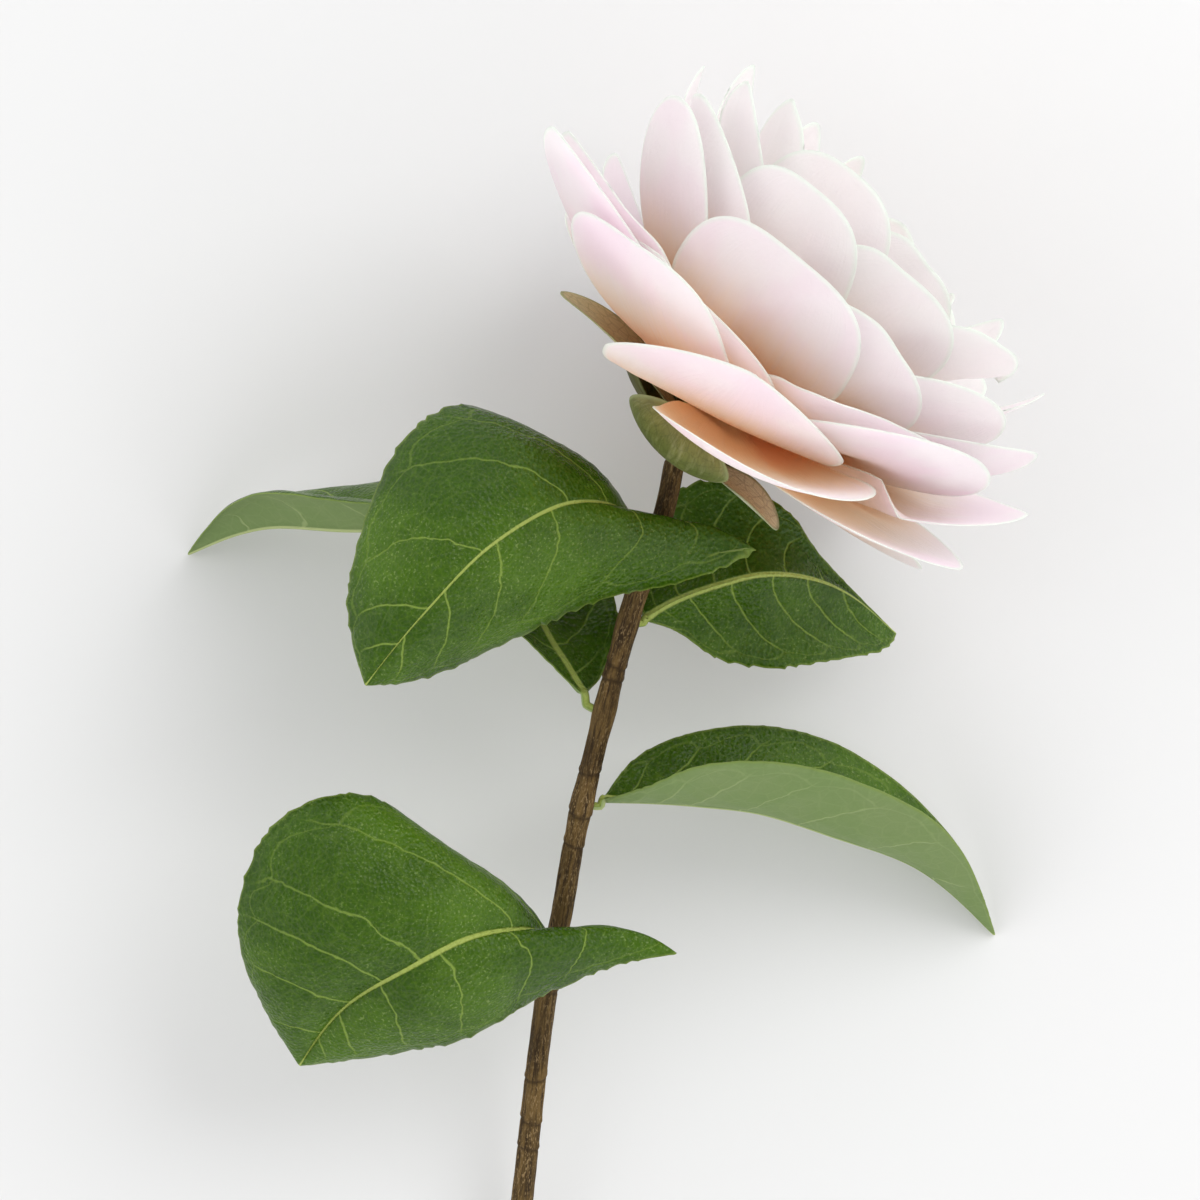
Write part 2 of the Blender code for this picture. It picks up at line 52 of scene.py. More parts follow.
# ---- flower head ----
HEAD = (19.3, 31.7, 48.0)  # the point of the axis where the outermost petal is seated
HEAD_TURN = 50.0  # direction of the axis, from +X toward +Y
RECEPTACLE = ((-11.0, 1.0), (-7.0, 4.2), (-2.0, 4.8), (2.0, 4.4), (13.0, 1.2))  # height, radius
SEAT_GAP = 0.5  # between the receptacle and the foot of a petal or sepal
PETAL_RISE = 0.28  # each petal is seated this much higher than the one outside it
FIRST_OPENING = 101.0  # angle between the axis and the outermost petal, at its foot
OPENING_FALL = 0.030  # and how that angle falls with the square of the petal's number
PETAL_GAP = 1.0  # between the sheets of two petals that lie on each other
FREE_LENGTH, FULL_LENGTH = 5.0, 10.0  # petals only make way for each other this far from their feet
FLOOR_GAP = 0.25  # between the surface and the sheet of a petal that lies on it

PETAL_FOOT, PETAL_WIDEST = 0.12, 0.62  # width at the foot, and how far along it is full
PETAL_USUAL = (1.25, 0)  # base, and what is added to the opening
SEPAL_FOOT, SEPAL_WIDEST, SEPAL_TIP, SEPAL_BASE = 0.30, 0.55, 2.0, 1.25

# Around the axis, lean from it, reach, width, cup, roll and tip (2 round, less is pointed); outermost
# first. Where two more values follow, they are the base (less is broader near the foot) and what is
# added to the opening.
PETALS = (
    (120, 87.5, 47, 44, 18, 0, 1.8),
    (66, 84.5, 52, 38, 14, 16, 1.6),
    (-165, 77, 53, 42, 20, 0, 2.0),
    (21, 93.5, 50, 40, 26, 20, 2.2, 1.1, 12),
    (152, 80, 53, 42, 20, 0, 2.0),
    (-138, 76, 53, 40, 20, 0, 2.0),
    (1.5, 82.5, 50, 43, 6, 14, 1.6, 0.6, 12),
    (-34, 77.5, 50, 36, 10, 3, 3.0, 0.7, 0),
    (118, 80, 42, 30, 14, 6, 1.5, 0.9, 0),
    (80, 69, 55, 40, 14, 17, 1.6),
    (178, 74, 53, 40, 20, 0, 2.0),
    (50, 68, 53, 43, 12, 9, 1.9),
    (-68, 71.7, 56.5, 46, 16, 0, 1.6),
    (-28, 76, 44, 42, 12, 0, 2.0, 1.0, 0),
    (-70, 69.5, 54, 50, 16, 0, 1.5),
    (38, 76, 49, 38, 14, 0, 2.0),
    (-122, 64, 54, 24, 18, 0, 1.5),
    (-7, 58.5, 49.2, 35.5, 14, 0, 3.0),
    (72, 59.5, 55, 34, 18, 0, 1.5),
    (155, 60, 53, 38, 22, 0, 2.0),
    (-155, 60, 53, 38, 22, 0, 2.0),
    (20, 60, 49, 34, 16, 0, 2.0),
    (-61, 50.5, 54.5, 29.5, 18, 0, 2.1),
    (54, 56, 52, 33, 18, 0, 2.0),
    (-140, 48, 53, 36, 22, 0, 1.8),
    (94, 47, 55, 26, 20, 0, 1.4),
    (-98, 42, 58, 24, 20, 0, 1.4),
    (135, 48, 53, 36, 22, 0, 1.8),
    (-63, 46, 54, 42, 20, 0, 1.6),
    (180, 46, 53, 36, 22, 0, 1.8),
    (-18, 43, 50, 27.5, 18, 0, 2.8),
    (112, 34, 52, 26, 22, 0, 1.5),
    (22, 44, 49.5, 31.5, 16, 0, 2.3),
    (-110, 35, 60, 26, 24, 0, 1.4),
    (60, 44, 52.5, 31, 18, 0, 1.9),
    (-62, 38, 56, 28, 20, 0, 1.4),
    (150, 36, 50, 34, 24, 0, 1.8),
    (-18, 30, 50, 27.5, 20, 0, 2.6),
    (-165, 28, 48, 32, 26, 0, 1.8),
    (25, 35, 48, 28.5, 20, 0, 2.0),
    (-58, 30, 54, 22, 24, 0, 1.4),
    (110, 25, 45, 22, 30, 0, 1.6),
    (-115, 22, 52, 22, 30, 0, 1.6),
    (20, 22, 44, 24, 34, 0, 1.7),
    (160, 14, 46, 22, 40, 0, 1.7),
    (-110, 10, 49, 20, 40, 0, 1.7),
)

# Around the axis, seat height, opening at the foot, lean, reach, width, cup, roll; lowest first.
SEPALS = {
    "sepal_right": (96, -8.2, 84, 112, 22.5, 11, 30, 22),
    "sepal_front": (-9, -9.9, 128, 104, 16, 22.5, 32, 0),
    "sepal_under_right": (160, -8.2, 96, 92, 20, 15, 35, 0),
    "sepal_under_left": (-160, -7.4, 94, 88, 21, 13, 35, 0),
    "sepal_back": (-120, -6.6, 98, 94, 20.5, 17, 35, 0),
    "sepal_left": (-91, -4.4, 72, 92.5, 32.5, 14, 20, -16),
}
# the right sepal's 1.5 is partly painted light: painted paler where shade falls on it
SEPAL_TONE = {"sepal_left": 1.0, "sepal_right": 1.5, "sepal_front": 0.35, "sepal_back": 0.0,
              "sepal_under_left": 0.0}
OTHER_SEPAL_TONE = 0.25  # 0 is dark olive, 1 is tan, 1.5 is dry and pale, the pale partly painted light that makes up for shade falling on the sepal


# ---- stem ----
STEM_ROUTE = (
    (12.35, 22.4, 48.0), (11.3, 17.0, 47.3), (6.5, 2.7, 43.6), (2.7, -11.1, 39.8),
    (-1.7, -29.0, 34.6), (-4.4, -40.9, 30.8), (-6.1, -50.8, 27.2), (-9.1, -66.8, 21.6),
    (-10.9, -81.0, 17.0), (-12.3, -93.5, 12.8), (-13.6, -104.5, 8.8), (-15.8, -124.0, 1.85),
)
STEM_RADIUS = (1.7, 1.9)  # at the flower and at the cut end
NODE_SWELL = 0.25  # the stem is this much thicker where a leaf leaves it
NODE_LENGTH = 3.0
RING_SCARS = (-11, -13.5, -29, -36, -41.5, -67, -82, -89.5, -94.5, -108)  # y of each ring on the bark
BLOTCHES = (-26, -43, -58, -75, -97, -112)  # y of each dark blotch

# ---- leaves ----
STATIONS = (0, 0.15, 0.3, 0.45, 0.6, 0.8, 1)  # of the way along the blade
STALK_WIDTH = 1.5
STALK_GAP = 0.8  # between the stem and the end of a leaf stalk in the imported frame
STALK_SINK = 0.6  # the stalk here goes on into the bark by this much
LEAF_BULGE = 0.14  # how far each half of a blade swells, of its width

# The midrib starts where the stalk ends. Both edges start at the midrib's foot and end at its tip, and
# their points between lie at the stations. "face" says to which side of the sheet each half swells.
# The side veins of each half are given by where they leave the midrib and where they meet the edge.
LEAVES = {
    "leaf_upper_left": {
        "node": 3.0, "face": 1,
        "rib": ((7.4, 5.6, 48.2), (6, 11.5, 51.5), (2, 15.5, 58), (-6.5, 15.5, 65), (-17, 9.5, 68.5),
                (-29, -2.5, 68), (-38.5, -14, 64)),
        "left": ((-3.5, 20, 45.5), (-11.5, 27, 49.5), (-23, 32, 55), (-33, 25, 59), (-41, 3, 62)),
        "right": ((25, 8.5, 51), (14, 3.5, 48.5), (0, 0.5, 51), (-11, -4.5, 53), (-27, -12, 58)),
        "left_veins": ((0.12, 0.24), (0.22, 0.38), (0.32, 0.52), (0.43, 0.67), (0.64, 0.79), (0.78, 0.88),
                       (0.88, 0.95)),
        "right_veins": ((0.07, 0.2), (0.15, 0.34), (0.28, 0.5), (0.47, 0.67), (0.6, 0.75), (0.73, 0.83),
                        (0.86, 0.93)),
    },
    "leaf_lower_left": {
        "node": -62.0, "face": 1,
        "rib": ((-9.5, -60, 27.8), (-8.5, -57.5, 33), (-13, -55.5, 41), (-22, -56.5, 46),
                (-32, -61.5, 46), (-43, -68.5, 40), (-51, -79, 30)),
        "left": ((-14.5, -51.5, 32.5), (-24.5, -43, 39.5), (-39, -33, 44), (-53, -36.5, 46),
                 (-60.5, -56, 42)),
        "right": ((12, -59.5, 34), (2, -61.5, 33), (-9, -66, 34), (-21, -73, 35), (-38, -77, 33)),
        "left_veins": ((0.1, 0.22), (0.2, 0.4), (0.33, 0.6), (0.57, 0.72), (0.67, 0.77), (0.78, 0.84),
                       (0.89, 0.93)),
        "right_veins": ((0.08, 0.2), (0.2, 0.44), (0.36, 0.53), (0.52, 0.64), (0.68, 0.73), (0.82, 0.83),
                        (0.9, 0.93)),
    },
    "leaf_upper_right": {
        "node": -3.8, "face": 1,
        "rib": ((7.8, -3, 40), (13, 0, 40.5), (20, 2.5, 40), (27, 4.2, 38.5), (34, 4, 33),
                (42.5, 1, 25), (51, -5.8, 15)),
        "left": ((6, 5, 38), (13, 17.5, 36), (23, 19.5, 36), (31.5, 15, 33), (38, 7, 27)),
        "right": ((13, -5, 37.5), (20, -9.5, 35), (29, -11, 32), (38.5, -10.2, 28), (48, -8.5, 20)),
        "left_veins": ((0.06, 0.2), (0.17, 0.36), (0.29, 0.5), (0.42, 0.62), (0.55, 0.73), (0.7, 0.83),
                       (0.84, 0.93)),
        "right_veins": ((0.08, 0.22), (0.2, 0.4), (0.34, 0.55), (0.5, 0.68), (0.63, 0.79), (0.78, 0.9)),
    },
    "leaf_lower_right": {
        "node": -34.6, "face": 1,
        "rib": ((0.8, -33.5, 33), (9, -33.8, 32.5), (17, -34.5, 31), (27.5, -36, 28), (39.5, -40, 23),
                (55.5, -46.5, 12), (69, -58.5, 0.4)),
        "left": ((7, -26.5, 26), (17.5, -22.5, 20), (30.5, -22, 14), (44, -26.5, 9), (61, -41, 3)),
        "right": ((8, -31, 42), (17, -27.5, 46), (29, -27, 45), (42, -30, 39.5), (59.5, -40, 26)),
        "left_veins": ((0.07, 0.2), (0.18, 0.34), (0.3, 0.47), (0.43, 0.6), (0.57, 0.72), (0.7, 0.83),
                       (0.84, 0.93)),
        "right_veins": ((0.05, 0.17), (0.15, 0.31), (0.26, 0.45), (0.4, 0.58), (0.53, 0.7), (0.68, 0.82),
                        (0.83, 0.92)),
    },
    "leaf_small": {
        "node": -18.9, "face": 1,
        "rib": ((-2.7, -15.5, 37), (-5, -11.5, 36), (-8, -7, 34), (-11, -1.5, 31), (-14, 4, 27),
                (-17.5, 10, 20), (-19.5, 14, 12)),
        "left": ((-7.5, -11, 38), (-13.5, -5, 38), (-18.5, 1, 35), (-22, 7.5, 30), (-23, 13, 20)),
        "right": ((0, -12.5, 34), (2.5, -5.5, 31), (2, 1, 26), (-1.5, 7, 20), (-10, 12, 14)),
        "left_veins": ((0.1, 0.28), (0.25, 0.46), (0.42, 0.63), (0.6, 0.78), (0.78, 0.9)),
        "right_veins": ((0.12, 0.3), (0.28, 0.5), (0.46, 0.68), (0.65, 0.82), (0.82, 0.92)),
    },
    "leaf_back_left": {
        "node": 8.0, "face": -1,
        "rib": ((2, 10, 41), (-6, 11, 39), (-16, 12, 37), (-28, 12.3, 33), (-42, 12, 27),
                (-58, 12.5, 15), (-72, 8, 0.4)),
        "left": ((-6, 14, 44), (-16, 15.5, 47), (-28, 15, 46), (-42.5, 16.5, 41), (-60, 17.5, 27)),
        "right": ((-5, 17, 33), (-15, 22, 25), (-28, 21, 17), (-42, 19.5, 11), (-59, 16.8, 5)),
        "left_veins": ((0.06, 0.18), (0.16, 0.33), (0.28, 0.46), (0.42, 0.6), (0.56, 0.73), (0.7, 0.84),
                       (0.84, 0.93)),
        "right_veins": ((0.08, 0.2), (0.2, 0.36), (0.32, 0.5), (0.46, 0.63), (0.6, 0.76), (0.74, 0.86),
                        (0.87, 0.94)),
    },
}

# On which side of its sheet each leaf's glossy upper face lies.
UPPER_SIDE = {"leaf_upper_left": 1, "leaf_lower_left": 1, "leaf_upper_right": -1, "leaf_lower_right": -1,
              "leaf_small": -1, "leaf_back_left": -1}

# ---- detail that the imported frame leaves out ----
PETAL_DETAIL = 2  # a petal here has this many times the points of its fine sheet
PETAL_THICKNESS, PETAL_RIM = 0.42, 0.13
SEPAL_THICKNESS, SEPAL_RIM = 0.55, 0.18
RIM_WIDTH = 1.6  # a petal thins toward its rim over this distance
OUTWARD_LEAN = 0.9  # in radians: the outer face is the one that looks out and down the axis
HELD_LENGTH, LOOSENING = 12, 14  # a petal's rim is still near its foot, and free this much further on
RIM_TURN = 0.16  # how far a petal's rim turns outward
RIPPLE = 0.07  # of a petal's rim
RIM_WAVES = ((7, 2.1, 1.0), (12, 4.3, 0.6))  # how many round a petal, shift per petal, share
RIM_REACH, RIPPLE_REACH = 1.3, 3.5  # both fade this far in from the rim
BLADE_ROWS, BLADE_COLUMNS, STALK_ROWS = 168, 48, 16
BLADE_THICKNESS, BLADE_RIM = 0.42, 0.2
RIB_WIDTH = (0.95, 0.3)  # half width of the midrib, at its foot and at its tip
RIB_BREADTH = {"leaf_upper_left": 0.65, "leaf_lower_left": 1.1}  # times that width, where it isn't 1
RIB_HEIGHT = (0.62, 0.15)  # how far it stands out below
RIB_GROOVE = 0.22  # and how deep it lies above
VEIN_BEND = 1.7  # side veins leave the midrib nearly square and bend toward the tip
LOOP_AT, LOOP_OUT = 0.84, 0.08  # where side veins join each other, of the way to the edge
QUILTING = 0.30  # how far a blade swells between its side veins
ROUGHNESS = 0.1  # height of the small swellings all over a blade
CROWDING = 1.55  # columns crowd toward the midrib
SMOOTH_ENDS = (0.06, 0.08)  # shares of a blade at its foot and at its tip where the swellings fade
SWELL_REACH = 5  # they also fade this far from the midrib and from the edge
EDGE_THINNING = 0.8  # a blade thins toward its edge over this distance
BLEND_ROWS = 14  # over which a stalk turns into a blade
STALK_RADIUS = 0.68
STALK_EDGE = 3.0  # the distance to the edge that a stalk is given, so that it gets no painted rim
TOOTH_LENGTH, TOOTH_HEIGHT, TOOTH_RISE = 3.6, 0.6, 0.78  # and the share of a tooth that rises
TEETH_ENDS = (14, 7)  # teeth grow and fade over these lengths, at the foot and at the tip
STEM_RINGS, STEM_SIDES = 460, 36
STEM_SEARCH = 800  # points of the stem, of which the nearest to a leaf's node is found
GRAIN_LENGTH = 152  # of the bark's pattern, along the stem
SCAR_WIDTH, SCAR_DEPTH = 0.28, 0.13  # of the groove at a ring scar
LIP_PLACE, LIP_WIDTH, LIP_HEIGHT = 0.55, 0.5, 0.12  # of the lip beside it
BLOTCH_LENGTH = 2.6
CUT_EDGE = np.array([0.02, 0.16])  # how much the last two rings before the cut are drawn in
CAP_SHARES = np.array([1.0, 0.8, 0.55, 0.3, 0.12])  # of the way out, each disc of a flat end
TOP_RINGS = 20  # more, where the stem goes on into the calyx
TOP_HEIGHT, TOP_RADIUS = -5.5, 3.2  # its end there, on the head's axis
CORE_RINGS, CORE_SIDES = 61, 48  # of the receptacle
CORE_END, CORE_TIP = 0.4, 0.02  # it goes on this much past its last radii, to this radius
FAR_FROM_RIM = 9.0  # it has no rim to be near to


# ---- the head's sheets ----
ACROSS, ALONG = 24, 32  # cells of a fine sheet
ARC_POINTS = 81  # on the middle line of a petal


def seat_radius(height):
    """Radius of the receptacle at a height on the axis."""
    heights, radii = zip(*RECEPTACLE)
    return np.interp(height, heights, radii)


def round_sheet():
    """A square grid drawn onto a disc: each point's place along (0 to 1) and across (-1 to 1) a petal."""
    u = np.linspace(-1, 1, ACROSS + 1)[None, :]
    w = np.linspace(-1, 1, ALONG + 1)[:, None]
    x = u * np.sqrt(1 - w * w / 2)
    y = w * np.sqrt(1 - u * u / 2)
    chord = np.sqrt(np.maximum(1 - y * y, 1e-12))
    return (1 + y) / 2, np.clip(x / chord, -1, 1)


def half_width(along, foot, widest, tip, base):
    """Outline of a petal: its half width, from 0 to 1, at each place along it."""
    grow = foot + (1 - foot) * np.sin(np.pi / 2 * np.clip(along / widest, 0, 1)) ** base
    past = np.clip((along - widest) / (1 - widest), 0, 1)
    return grow * (1 - past ** tip) ** (1 / tip)


def blade(around, height, opening, lean, reach, width, cup, roll, tip, foot, widest, base):
    """A petal or sepal as a curved sheet, in the head's frame.

    Its middle line is an arc in the plane at the angle "around". It leaves its seat at the angle
    "opening" from the axis and ends at the distance "reach" from the head's origin, in the direction
    "lean". Across, the sheet is an arc that bends toward the axis by "cup" at its edge.
    """
    along, across = round_sheet()
    start = np.array([height, seat_radius(height) + SEAT_GAP])
    lean = np.radians(lean)
    span = reach * np.array([np.cos(lean), np.sin(lean)]) - start
    direction = np.arctan2(span[1], span[0])
    half_turn = np.radians(opening) - direction
    length = np.hypot(*span) * half_turn / np.sin(half_turn)
    steps = np.linspace(0, 1, ARC_POINTS)
    angle = direction + half_turn * (1 - 2 * steps)
    heading = np.stack([np.cos(angle), np.sin(angle)], 1) * length
    walked = np.cumsum((heading[1:] + heading[:-1]) / 2, 0) / (len(steps) - 1)
    middle = start + np.vstack([np.zeros(2), walked])
    rise = np.interp(along, steps, middle[:, 0])
    radius = np.interp(along, steps, middle[:, 1])
    angle = np.interp(along, steps, angle)
    bend = np.radians(cup) * half_width(along, foot, widest, tip, base) * across
    curve_radius = width / 2 / np.radians(cup)
    sideways = curve_radius * np.sin(bend)
    inward = curve_radius * (1 - np.cos(bend))
    roll = np.radians(roll)
    sideways, inward = (sideways * np.cos(roll) - inward * np.sin(roll),
                        sideways * np.sin(roll) + inward * np.cos(roll))
    rise = rise + inward * np.sin(angle)
    radius = radius - inward * np.cos(angle)
    around = np.radians(around)
    return np.stack([radius * np.cos(around) - sideways * np.sin(around),
                     radius * np.sin(around) + sideways * np.cos(around), rise], -1)


# ---- making way: each petal's sheet clears the ones outside it ----
RADIUS_CELLS, TURN_CELLS = 70, 180  # cells of 1 mm and 2 degrees
NEARLY_OPEN = 3.1  # a lean beyond this is the open map's own, in radians
SPREAD = 0.6  # a placed sheet also takes the cells this near to it


def as_directions(points):
    """Distance from the head's origin, angle from the axis, and angle around it."""
    radius = np.linalg.norm(points, axis=-1)
    lean = np.arccos(np.clip(points[..., 2] / np.maximum(radius, 1e-6), -1, 1))
    return radius, lean, np.arctan2(points[..., 1], points[..., 0])


def cells(radius, around):
    """The map's cell for each distance and angle around."""
    row = np.clip(radius.astype(int), 0, RADIUS_CELLS - 1)
    column = np.round(around / (2 * np.pi) * TURN_CELLS).astype(int) % TURN_CELLS
    return row, column


def open_map():
    """For each cell, the widest lean that is free; at first, only the surface below takes any away."""
    radius = (np.arange(RADIUS_CELLS) + 0.5)[:, None]
    down = -np.cos(np.arange(TURN_CELLS) * 2 * np.pi / TURN_CELLS)[None, :]
    lowest = (HEAD[2] - FLOOR_GAP) / np.maximum(radius * np.maximum(down, 1e-6), 1e-6)
    return np.where((down > 0) & (lowest < 1), np.arcsin(np.clip(lowest, 0, 1)), np.pi)


def resampled(grid, times, curve):
    """A grid with more points, each found by a curve through the points around it."""
    for axis in (0, 1):
        grid = np.moveaxis(grid, axis, 0)
        count = len(grid)
        places = np.linspace(0, count - 1, (count - 1) * times + 1)
        i = np.minimum(places.astype(int), count - 2)
        f = (places - i).reshape(-1, *[1] * (grid.ndim - 1))
        grid = np.moveaxis(curve(grid, i, f), 0, axis)
    return grid


def straight(grid, i, f):
    """Points on the straight lines between those of a grid."""
    return grid[i] * (1 - f) + grid[i + 1] * f


def window(field, pick):
    """Each value replaced by the largest, or the mean, of those within two cells of it."""
    for axis in (0, 1):
        pad = [(2, 2) if axis == side else (0, 0) for side in (0, 1)]
        wide = np.pad(field, pad, mode="edge")
        size = field.shape[axis]
        field = pick([np.take(wide, np.arange(k, k + size), axis) for k in range(5)], axis=0)
    return field


def make_way(points, free):
    """Lean a sheet toward the axis where it would come too near to what the map holds."""
    radius, lean, around = as_directions(points)
    limit = free[cells(radius, around)]
    excess = np.maximum(lean - (limit - PETAL_GAP / np.maximum(radius, 1)), 0)
    excess = np.where(limit > NEARLY_OPEN, 0, excess)
    from_foot = np.linalg.norm(points - points[0, ACROSS // 2], axis=-1)
    excess = excess * np.clip((from_foot - FREE_LENGTH) / (FULL_LENGTH - FREE_LENGTH), 0, 1)
    lean = lean - window(window(excess, np.max), np.mean)
    return np.stack([radius * np.sin(lean) * np.cos(around), radius * np.sin(lean) * np.sin(around),
                     radius * np.cos(lean)], -1)


def take_place(points, free):
    """Note on the map what a placed sheet leaves free for those inside it."""
    radius, lean, around = as_directions(resampled(points, 3, straight))
    margin = SPREAD / np.maximum(radius * np.sin(lean), SPREAD)
    for step_out in (-SPREAD, 0, SPREAD):
        for step_round in (-1, -0.5, 0, 0.5, 1):
            where = cells(np.maximum(radius + step_out, 0), around + step_round * margin)
            np.minimum.at(free, where, lean)


def head_sheets():
    """Every sepal and petal, by name, from the outside in."""
    free = open_map()
    sheets = {name: blade(*row, SEPAL_TIP, SEPAL_FOOT, SEPAL_WIDEST, SEPAL_BASE)
              for name, row in SEPALS.items()}
    for number, (around, lean, reach, width, cup, roll, tip, *rest) in enumerate(PETALS):
        base, more = rest or PETAL_USUAL
        opening = FIRST_OPENING - OPENING_FALL * number ** 2 + more
        sheets[f"petal_{number + 1:02d}"] = blade(
            around, PETAL_RISE * number, opening, lean, reach, width, cup, roll, tip, PETAL_FOOT,
            PETAL_WIDEST, base)
    for name, sheet in sheets.items():
        sheets[name] = make_way(sheet, free)
        take_place(sheets[name], free)
    return sheets


# ---- stem and leaves ----
def through(knots, points, places):
    """Smooth curve through points at their knots, read at the places between."""
    knots = np.array(knots, float)
    points = np.array(points, float)
    slope = np.diff(points, axis=0) / np.diff(knots)[:, None]
    before, after = np.diff(knots)[:-1, None], np.diff(knots)[1:, None]
    inner = (slope[:-1] * after + slope[1:] * before) / (before + after)
    tangent = np.vstack([1.5 * slope[:1] - 0.5 * inner[:1], inner, 1.5 * slope[-1:] - 0.5 * inner[-1:]])
    places = np.atleast_1d(places)
    i = np.clip(np.searchsorted(knots, places, side="right") - 1, 0, len(knots) - 2)
    step = (knots[i + 1] - knots[i])[:, None]
    f = (places - knots[i])[:, None] / step
    return ((2 * f ** 3 - 3 * f ** 2 + 1) * points[i] + (f ** 3 - 2 * f ** 2 + f) * step * tangent[i]
            + (3 * f ** 2 - 2 * f ** 3) * points[i + 1] + (f ** 3 - f ** 2) * step * tangent[i + 1])


def stem_line(count):
    """Points along the middle of the stem, evenly spaced, and the stem's radius at each."""
    route = np.array(STEM_ROUTE)
    knots = np.concatenate([[0], np.cumsum(np.linalg.norm(np.diff(route, axis=0), axis=1))])
    places = np.linspace(0, knots[-1], count)
    line = through(knots, route, places)
    radius = np.interp(places, [0, knots[-1]], STEM_RADIUS)
    for leaf in LEAVES.values():
        radius = radius + NODE_SWELL * np.exp(-((line[:, 1] - leaf["node"]) / NODE_LENGTH) ** 2)
    return line, radius


def stem_at(y):
    """The stem's middle, direction and radius where it crosses y."""
    line, radius = stem_line(STEM_SEARCH)
    nearest = int(np.argmin(abs(line[:, 1] - y)))
    direction = line[nearest - 1] - line[nearest + 1]
    return line[nearest], direction / np.linalg.norm(direction), radius[nearest]


def unit(vectors):
    """Vectors of length 1."""
    return vectors / np.maximum(np.linalg.norm(vectors, axis=-1, keepdims=True), 1e-9)


def stalk_sheet(leaf, heading, chord, shares):
    """A leaf's stalk as a narrow sheet, from inside the bark to the foot of the blade."""
    middle, direction, radius = stem_at(leaf["node"])
    foot = np.array(leaf["rib"][0], float)
    outward = foot - middle
    outward = unit(outward - outward @ direction * direction)
    seat = middle + outward * (radius + STALK_GAP)
    pull = np.linalg.norm(foot - seat) / 3
    t = np.linspace(0, 1, STALK_ROWS + 1)[:-1, None]
    after_seat, before_foot = seat + outward * pull, foot - heading * pull
    line = ((1 - t) ** 3 * seat + 3 * (1 - t) ** 2 * t * after_seat + 3 * (1 - t) * t ** 2 * before_foot
            + t ** 3 * foot)
    along = unit((1 - t) ** 2 * (after_seat - seat) + 2 * (1 - t) * t * (before_foot - after_seat)
                 + t ** 2 * (foot - before_foot))
    square = unit(chord - (along @ chord)[:, None] * along)
    sunk = np.clip(1 - np.arange(STALK_ROWS) / 4, 0, 1)[:, None]
    line = line - outward * (STALK_GAP + STALK_SINK) * sunk
    return line[:, None] + square[:, None] * np.array(shares)[None, :, None] * STALK_WIDTH / 2


def leaf_sheet(leaf, shares):
    """A leaf with its stalk as a curved sheet: rows run along it, columns across it."""
    x = np.linspace(0, 1, BLADE_ROWS + 1)
    along = (x + (1 - np.cos(np.pi * x)) / 2) / 2
    rounded = np.where(along < STATIONS[1], np.sqrt(along * STATIONS[1]), along)
    foot, tip = leaf["rib"][0], leaf["rib"][-1]
    rib = through(STATIONS, leaf["rib"], along)
    left = through(STATIONS, (foot, *leaf["left"], tip), rounded)
    right = through(STATIONS, (foot, *leaf["right"], tip), rounded)
    heading = unit(np.gradient(rib, axis=0))
    chord = left - right
    chord = unit(chord - (chord * heading).sum(1, keepdims=True) * heading)
    chord[0] = chord[1]
    chord[-1] = chord[-2]
    outward = np.cross(chord, heading) * leaf["face"]
    narrow = (STALK_WIDTH / 2 * (1 - along) ** 2)[:, None] * chord
    columns = []
    for across in shares:
        edge = left if across > 0 else right
        share = abs(across)
        swell = 4 * share * (1 - share) * LEAF_BULGE * np.linalg.norm(edge - rib, axis=1, keepdims=True)
        columns.append(rib + (edge - rib) * share + outward * swell + narrow * across)
    return np.vstack([stalk_sheet(leaf, heading[0], chord[0], shares), np.stack(columns, 1)]), along


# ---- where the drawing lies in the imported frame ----
def head_matrix():
    """The head's frame in the drawing frame."""
    turn = np.radians(HEAD_TURN)
    return np.array([[0, np.sin(turn), np.cos(turn)], [0, -np.cos(turn), np.sin(turn)], [1, 0, 0]])


def drawing_origin():
    """Where the drawing frame's origin lies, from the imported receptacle's box."""
    low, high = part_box("receptacle")
    heights, radii = np.array(RECEPTACLE).T
    turn = np.radians(HEAD_TURN)
    ends = []
    for forward, sideways in ((np.cos(turn), np.sin(turn)), (np.sin(turn), np.cos(turn))):
        reach = np.concatenate([heights * forward + radii * sideways * side for side in (-1, 1)])
        ends.append((reach.min() + reach.max()) / 2)
    middle = (np.array(low) + np.array(high)) / 2 / MM
    return np.array([middle[0] - HEAD[0] - ends[0], middle[1] - HEAD[1] - ends[1], 0.0])


ORIGIN = drawing_origin()


# ---- meshes ----
def smooth(grid, i, f):
    """Points on a smooth curve through those of a grid."""
    wide = np.concatenate([2 * grid[:1] - grid[1:2], grid, 2 * grid[-1:] - grid[-2:-1]])
    a, b, c, d = (wide[i + k] for k in range(4))
    return b + 0.5 * f * (c - a + f * (2 * a - 5 * b + 4 * c - d + f * (3 * (b - c) + d - a)))


def normals_of(grid):
    """The direction square to a grid of points, at each of them."""
    return unit(np.cross(np.gradient(grid, axis=1), np.gradient(grid, axis=0)))


def edge_distance(grid):
    """Distance from each point of a grid to its nearest edge point."""
    edge = np.concatenate([grid[0], grid[-1], grid[1:-1, 0], grid[1:-1, -1]])
    flat = grid.reshape(-1, 3)
    return np.sqrt(((flat[:, None] - edge[None]) ** 2).sum(-1).min(1)).reshape(grid.shape[:2])


def stacked(x, y, z):
    """Vectors from their three parts."""
    return np.stack(np.broadcast_arrays(x, y, z), -1)


def ring_walls(number):
    """Faces between rings of points, each closed on itself, from the numbers of their points."""
    after = np.roll(number, -1, axis=1)
    return np.stack([number[:-1], after[:-1], after[1:], number[1:]], -1).reshape(-1, 4)


def linked(name, data):
    """An object in the scene, from its mesh, light or camera."""
    thing = bpy.data.objects.new(name, data)
    bpy.context.collection.objects.link(thing)
    return thing


